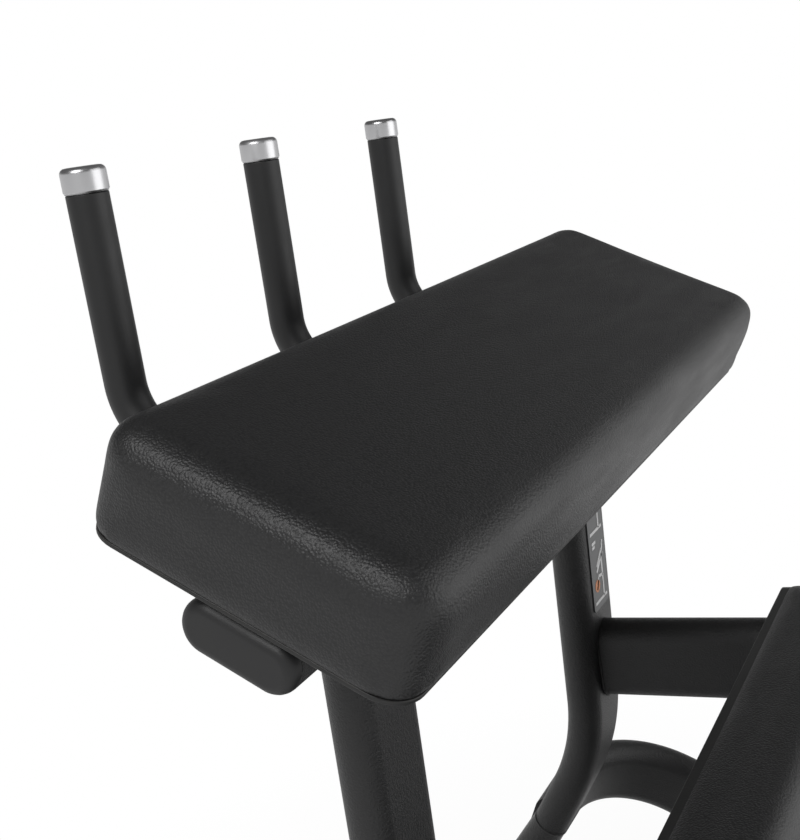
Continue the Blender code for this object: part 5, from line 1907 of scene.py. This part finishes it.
@dataclass
class Lever:
    """The swinging lever: side plates, shafts, cross tube, sleeve and weight horns."""

    outer_x: float = 0.2578
    plate: float = 0.012
    hub_radius: float = 0.042
    end_radius: float = 0.057
    pin_radius: float = 0.0125
    pin_head: float = 0.024
    pin_length: float = 0.061
    stem: float = 0.038
    slide_gap: float = 0.0005
    sleeve_wall: float = 0.0055
    sleeve_above: float = 0.045
    sleeve_below: float = 0.060
    lock_drop: float = 0.044
    sleeve_corner: float = 0.003
    boss_radius: float = 0.013
    boss_length: float = 0.030
    boss_root: float = 0.003
    lock_hole: float = 0.0056
    horn_length: float = 0.208
    horn_radius: float = 0.0240
    flange_radius: float = 0.0360
    flange_thick: float = 0.0080
    plate_edge: float = 0.0012
    pin_edge: float = 0.0003
    pin_bolt: ButtonBolt = ButtonBolt(0.010, 0.005, 0.0185, 0.0025)

    def build(self, shop: Workshop, layout: Layout) -> None:
        """Makes the lever.

        Args:
            shop: Where pieces are handed over.
            layout: The shared sizes.
        """
        knee, tube_place = Vector(layout.knee), Vector(layout.lever_tube)
        for word, side in SIDES:
            low = self.outer_x - self.plate if side > 0 else -self.outer_x
            circles = [(knee.y, knee.z, self.hub_radius), (tube_place.y, tube_place.z, self.end_radius)]
            arm = linked_plate(f"{word}_lever_side", circles, low, self.plate)
            width = self.plate_edge
            shop.finish(arm, Slot.PAINT, f"{word}_lever_plate", body=Body.LEVER, width=width, angle=40)
            hub = Vector((side * (self.outer_x - self.plate), knee.y, knee.z))
            pin = turned(f"{word}_knee_pin", self.pin_profile(), hub, X_AXIS * side)
            shop.finish(pin, Slot.STEEL, f"{word}_knee_shaft", body=Body.LEVER, width=self.pin_edge)
            end = hub + X_AXIS * side * (self.pin_length + 0.0002)
            self.pin_bolt.build(shop, f"{word}_knee_pin_bolt", end, X_AXIS * side, Body.LEVER)
            place = tube_place + X_AXIS * side * (self.outer_x + GAP)
            self.horn(shop, f"{word}_weight_horn", place, X_AXIS * side)
        inner = self.outer_x - self.plate - GAP
        tube = layout.tube("lever_cross_tube_steel", tube_place - X_AXIS * inner, X_AXIS, Y_AXIS)
        tube = tube.run(2 * inner).done()
        shop.finish(tube, Slot.PAINT, "lever_cross_tube", body=Body.LEVER, width=TUBE_EDGE)
        self.sleeve(shop, tube_place)

    def pin_profile(self) -> list[tuple]:
        """The knee pin with its head on the lever's inner side.

        Returns:
            (radius, height) points.
        """
        wide, head, end = self.pin_radius, self.pin_head, self.pin_length
        profile = [(0, end), (wide - 0.0015, end), (wide, end - 0.0015), (wide, -GAP), (head, -GAP)]
        return profile + [(head, -0.0040), (head - 0.0012, -0.0055), (head - 0.003, -0.006), (0, -0.006)]

    def sleeve(self, shop: Workshop, middle: Vector) -> None:
        """The square sleeve that the roller stem slides in, with the boss of its lock.

        Args:
            shop: Where it is handed over.
            middle: The cross tube's middle.
        """
        outside = self.stem + 2 * (self.slide_gap + self.sleeve_wall)
        inside = self.stem + 2 * self.slide_gap
        foot = Matrix.Translation(middle - Z_AXIS * self.sleeve_below)
        high, past = self.sleeve_above + self.sleeve_below, 0.01
        sleeve = slab("lever_sleeve_steel", (outside, outside, high), foot, self.sleeve_corner, 0.0, 4)
        boss_place = middle + Vector((0, -outside / 2, -self.lock_drop))
        wide, long, hole = self.boss_radius, self.boss_length, self.lock_hole
        boss = [(0, -self.boss_root), (wide, -self.boss_root), (wide, long), (0, long)]
        unite(sleeve, [turned("lock_boss", boss, boss_place, -Y_AXIS)])
        deeper = Matrix.Translation(middle - Z_AXIS * (self.sleeve_below + past))
        bore = [(0, -2 * past), (hole, -2 * past), (hole, long + past), (0, long + past)]
        tools = [
            slab("sleeve_inside", (inside, inside, high + 2 * past), deeper, 0, 0),
            turned("lock_hole", bore, boss_place, -Y_AXIS),
        ]
        unite(sleeve, tools, "DIFFERENCE")
        shop.finish(sleeve, Slot.PAINT, "lever_sleeve", body=Body.LEVER, width=TUBE_EDGE)

    def horn(self, shop: Workshop, node: str, place: Vector, out: Vector) -> None:
        """A sleeve for weight plates, with its flange.

        Args:
            shop: Where it is handed over.
            node: The CAD node.
            place: The flange's inner face.
            out: The way it points.
        """
        end, wide, rim, thick = self.horn_length, self.horn_radius, self.flange_radius, self.flange_thick
        profile = [
            (0, end),
            (wide - 0.0060, end),
            (wide - 0.0032, end - 0.0007),
            (wide - 0.0010, end - 0.0030),
            (wide, end - 0.0070),
            (wide, thick + 0.0005),
            (wide + 0.0005, thick),
            (rim - 0.0015, thick),
            (rim - 0.0004, thick - 0.0004),
            (rim, thick - 0.0015),
            (rim, 0.0004),
            (rim - 0.0004, 0),
            (0, 0),
        ]
        horn = turned(node + "_steel", profile, place, out)
        shop.finish(horn, Slot.CHROME, node, body=Body.LEVER)


@dataclass
class Carriage:
    """The sliding stem with the heel rollers, and the knob that locks it."""

    half_stem: float = 0.019
    side_gap: float = 0.004
    neck: float = 0.008
    neck_radius: float = 0.020
    roller_length: float = 0.195
    roller_radius: float = 0.050
    roller_edge: float = 0.012
    boss: tuple = (0.0, -0.30688, 0.279)
    boss_length: float = 0.030
    knob_radius: float = 0.026
    knob_thick: float = 0.020
    lobes: int = 6
    lobe: float = 0.003
    lobe_steps: int = 14
    knob_edge: float = 0.0034
    screw_radius: float = 0.005
    screw_reach: float = 0.009
    stem_edge: float = 0.0015
    axle_radius: float = 0.0125
    axle_end: float = 0.010
    collar_radius: float = 0.022
    collar: float = 0.005
    disc: float = 0.0018
    disc_share: float = 0.76

    def build(self, shop: Workshop, layout: Layout) -> None:
        """Makes the carriage.

        Args:
            shop: Where pieces are handed over.
            layout: The shared sizes.
        """
        stem = copied_node("roller_stem_steel", "roller_stem")
        shop.finish(stem, Slot.PAINT, "roller_stem", body=Body.CARRIAGE, width=self.stem_edge)
        end = self.half_stem + 2 * self.side_gap + self.roller_length
        thin, wide = self.axle_radius, self.collar_radius
        tip, ring = end + self.axle_end, end + self.collar
        half = [(0, tip), (thin - 0.0015, tip), (thin, tip - 0.0015), (thin, ring)]
        half += [(wide - 0.0006, ring), (wide, ring - 0.0006), (wide, end + 0.0006), (wide - 0.0006, end)]
        half.append((thin, end))
        profile = half + [(radius, -high) for radius, high in reversed(half)]
        axle = turned("roller_axle_steel", profile, Vector(layout.axle), X_AXIS)
        shop.finish(axle, Slot.STEEL, "roller_axle", body=Body.CARRIAGE)
        self.knob(shop)
        long, wide, edge, neck = self.roller_length, self.roller_radius, self.roller_edge, self.neck
        arc = [math.pi / 2 * i / 8 for i in range(9)]
        rim = [(wide - edge + edge * math.sin(a), long - edge + edge * math.cos(a)) for a in arc]
        profile = [(BORE, long)] + rim + [(r, long + neck - h) for r, h in reversed(rim)]
        profile += [(self.neck_radius, neck), (self.neck_radius, 0), (BORE, 0), (BORE, long)]
        thick, brim = self.disc, wide * self.disc_share
        discs = (("outer", long + GAP, BORE), ("inner", neck - thick - GAP, self.neck_radius + GAP))
        for word, side, body in (("left", -1, Body.LEFT_ROLLER), ("right", 1, Body.RIGHT_ROLLER)):
            inner = Vector(layout.axle) + X_AXIS * side * (self.half_stem + self.side_gap)
            roller = turned(f"{word}_roller_sleeve", profile, inner, X_AXIS * side)
            shop.finish(roller, Slot.FOAM, f"{word}_roller", body=body)
            for end, low, hole in discs:
                disc = [(hole, low), (hole, low + thick), (brim - 0.0010, low + thick)]
                disc += [(brim, low + thick - 0.0006), (brim, low + 0.0004)]
                disc += [(brim - 0.0005, low), (hole, low)]
                plate = turned(f"{word}_roller_{end}_disc", disc, inner, X_AXIS * side)
                shop.finish(plate, Slot.PLASTIC, body=body)

    def knob(self, shop: Workshop) -> None:
        """The lobed knob with its screw.

        Args:
            shop: Where it is handed over.
        """
        boss, back = Vector(self.boss), -self.boss_length - 2 * GAP
        count = self.lobes * self.lobe_steps
        points = []
        for number in range(count):
            angle = 2 * math.pi * number / count
            radius = self.knob_radius - self.lobe * (1 - math.cos(self.lobes * angle)) / 2
            points.append(boss + Vector((radius * math.cos(angle), back, radius * math.sin(angle))))
        knob = drawn_plate("lock_knob_moulding", points, -Y_AXIS * self.knob_thick)
        with editing(knob):
            pick("edges", lambda e: e.calc_face_angle(0) > CORNER_ANGLE)
            bpy.ops.mesh.bevel(offset=self.knob_edge, segments=5, affect="EDGES")
        deep, wide, top = self.boss_length + self.screw_reach, self.screw_radius, self.knob_thick / 2
        screw = [(0, -deep), (wide - 0.0006, -deep), (wide, -deep + 0.0006), (wide, top), (0, top)]
        unite(knob, [turned("lock_screw", screw, boss - Y_AXIS * self.boss_length, -Y_AXIS, 32)])
        shop.finish(knob, Slot.PLASTIC, "lock_knob", body=Body.LOCK)


@dataclass
class Placard:
    """The instruction placard on the right post's user side: a grey film with two plain line figures."""

    line: float = 0.0040
    disc: float = 0.008
    thick: float = 0.0003
    edge: float = 0.0003
    margin: float = 0.005

    def build(self, shop: Workshop) -> None:
        """Makes the film and its raised figures.

        Args:
            shop: Where pieces are handed over.
        """
        film = copied_node("placard_panel", "placard_plate")
        shop.finish(film, Slot.PLACARD, "placard_plate", width=self.edge)
        low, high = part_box("placard_plate")
        left, right = low[0] + self.margin, high[0] - self.margin
        face = low[1]
        tall = (high[2] - low[2] - 3 * self.margin) / 2
        for number in range(2):
            foot = low[2] + self.margin + number * (tall + self.margin)
            self.figure(shop, number + 1, left, right - left, foot, tall, face)

    def figure(
        self, shop: Workshop, number: int, left: float, wide: float, foot: float, tall: float, face: float
    ) -> None:
        """One plain scheme of the machine: strokes for frame, pad and lever, and an orange disc at the load.

        Args:
            shop: Where pieces are handed over.
            number: Which of the two.
            left: The figure's left edge.
            wide: Its width.
            foot: Its lower edge.
            tall: Its height.
            face: The film's face.
        """
        strokes = [
            ((0.02, 0.06), (0.98, 0.06)),
            ((0.75, 0.06), (0.75, 0.62)),
            ((0.75, 0.62), (0.92, 0.90)),
            ((0.30, 0.50), (0.88, 0.72)),
            ((0.34, 0.58), (0.80, 0.78)),
            ((0.75, 0.40), (0.42, 0.42)),
            ((0.42, 0.42), (0.24, 0.24) if number == 1 else (0.12, 0.52)),
            ((0.10, 0.96), (0.40, 0.96)),
            ((0.10, 0.90), (0.32, 0.90)),
        ]
        pieces = []
        for start, end in strokes:
            first = Vector((left + start[0] * wide, face, foot + start[1] * tall))
            last = Vector((left + end[0] * wide, face, foot + end[1] * tall))
            along = (last - first).normalized()
            across = along.cross(Y_AXIS) * self.line / 2
            corners = [first - across, last - across, last + across, first + across]
            pieces.append(drawn_plate("placard_stroke", corners, -Y_AXIS * self.thick))
        only(pieces[0])
        for piece in pieces[1:]:
            piece.select_set(True)
        bpy.ops.object.join()
        lines = named(f"placard_lines_{number}")
        shop.hand_over(lines, Slot.PLACARD, material=shop.palette.ink_light)
        place = (0.28, 0.30) if number == 1 else (0.14, 0.58)
        centre = Vector((left + place[0] * wide, face, foot + place[1] * tall))
        outline = [(0, self.thick), (self.disc, self.thick), (self.disc, 0), (0, 0)]
        disc = turned(f"placard_load_{number}", outline, centre, -Y_AXIS, 32)
        shop.hand_over(disc, Slot.PLACARD, material=shop.palette.ink_orange)


@dataclass(frozen=True)
class SoftBox:
    """A square lamp that looks at the machine."""

    name: str
    place: tuple
    size: float
    power: float
    target: tuple = (0.0, 0.1, 0.9)

    def build(self) -> None:
        """Adds the lamp."""
        lamp = bpy.data.lights.new(self.name, "AREA")
        lamp.shape = "SQUARE"
        lamp.size = self.size
        lamp.energy = self.power
        obj = bpy.data.objects.new(self.name, lamp)
        bpy.context.scene.collection.objects.link(obj)
        toward = Vector(self.target) - Vector(self.place)
        obj.location = self.place
        obj.rotation_euler = toward.to_track_quat("-Z", "Y").to_euler()


@dataclass
class Studio:
    """Pale floor, white surroundings, soft lamps and the photograph's camera."""

    lamps: tuple = (
        SoftBox("upper_left_softbox", (-2.6, 0.2, 3.4), 1.8, 60.0),
        SoftBox("user_side_softbox", (1.4, -3.3, 2.2), 4.0, 64.0),
    )
    eye: tuple = (-1.02362, -0.28313, 1.41809)
    right: tuple = (0.47673, -0.86896, -0.13310)
    up: tuple = (0.29213, 0.01387, 0.95627)
    back: tuple = (-0.82910, -0.49478, 0.26051)
    sensor: float = 36.0
    lens: float = 1158.3 * 36 / 840
    floor_half: float = 14.0
    floor_mirror: float = 0.72

    def build(self) -> None:
        """Sets up the studio."""
        self.surroundings()
        self.floor()
        for lamp in self.lamps:
            lamp.build()
        self.camera()

    def surroundings(self) -> None:
        """White world, darker overhead, plain white to the camera."""
        world = bpy.data.worlds.new("studio")
        bpy.context.scene.world = world
        world.use_nodes = True
        graph = Graph(world.node_tree)
        background = world.node_tree.nodes["Background"]
        direction = graph.add("TexCoord").outputs["Generated"]
        height = graph.add("SeparateXYZ", Vector=direction).outputs["Z"]
        shade = graph.spread(height, 0.02, 0.32, 0.78, 0.13)
        seen = graph.add("LightPath").outputs["Is Camera Ray"]
        level = graph.add("Mix", {"data_type": "FLOAT"})
        graph.put(level, "0", seen)
        graph.put(level, "2", shade)
        graph.put(level, "3", 1.0)
        graph.put(background, "Color", (1.0, 1.0, 1.0, 1.0))
        graph.put(background, "Strength", level.outputs[0])
        bpy.context.scene.view_settings.view_transform = "Standard"

    def floor(self) -> None:
        """A wide pale floor that shows nearly white and keeps the machine's shadow."""
        bpy.ops.object.select_all(action="DESELECT")
        bpy.ops.mesh.primitive_plane_add(size=2 * self.floor_half, location=(0, 0, -0.0005))
        floor = bpy.context.active_object
        floor.name = "studio_floor"
        place_applied(floor)
        material = bpy.data.materials.new("studio_floor_paint")
        material.use_nodes = True
        graph = Graph(material.node_tree)
        paint = material.node_tree.nodes["Principled BSDF"]
        graph.put(paint, "Base Color", (0.88, 0.88, 0.88, 1.0))
        graph.put(paint, "Roughness", 0.85)
        glow = graph.add("Emission", Color=(1.0, 1.0, 1.0, 1.0), Strength=1.0)
        rays = graph.add("LightPath")
        away = graph.add("VectorMath", {"operation": "LENGTH"})
        graph.put(away, "0", graph.add("TexCoord").outputs["Object"])
        shown = graph.spread(away.outputs["Value"], 0.6, 1.5, 0.94, 1.0)
        shown = graph.math("MULTIPLY", rays.outputs["Is Camera Ray"], shown)
        mirrored = graph.spread(away.outputs["Value"], 0.6, 1.6, 0.42, self.floor_mirror)
        mirrored = graph.math("MULTIPLY", rays.outputs["Is Glossy Ray"], mirrored)
        mixed = graph.add("MixShader")
        graph.put(mixed, "0", graph.math("MAXIMUM", shown, mirrored))
        graph.put(mixed, "1", paint.outputs[0])
        graph.put(mixed, "2", glow.outputs[0])
        graph.put(material.node_tree.nodes["Material Output"], "Surface", mixed.outputs[0])
        floor.data.materials.append(material)

    def camera(self) -> None:
        """The photograph's camera."""
        data = bpy.data.cameras.new("photograph_camera")
        data.sensor_fit = "AUTO"
        data.sensor_width = self.sensor
        data.lens = self.lens
        data.clip_start, data.clip_end = 0.02, 60
        obj = bpy.data.objects.new("photograph_camera", data)
        bpy.context.scene.collection.objects.link(obj)
        turn = Matrix((Vector(self.right), Vector(self.up), Vector(self.back))).transposed()
        obj.matrix_world = Matrix.Translation(Vector(self.eye)) @ turn.to_4x4()
        bpy.context.scene.camera = obj


def main() -> None:
    """Builds the machine and its studio."""
    logging.basicConfig(level=logging.INFO, format="%(message)s")
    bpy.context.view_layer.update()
    shop = Workshop(Palette())
    layout = Layout()
    BellyPad().build(shop, layout)
    Handles().build(shop, layout)
    Posts().build(shop, layout)
    ThighRest().build(shop, layout)
    SideArms().build(shop, layout)
    Base().build(shop, layout)
    KneePivot().build(shop, layout)
    Lever().build(shop, layout)
    Carriage().build(shop, layout)
    Placard().build(shop)
    Studio().build()
    log.info("%d pieces made", shop.made)


if __name__ == "__main__":
    main()
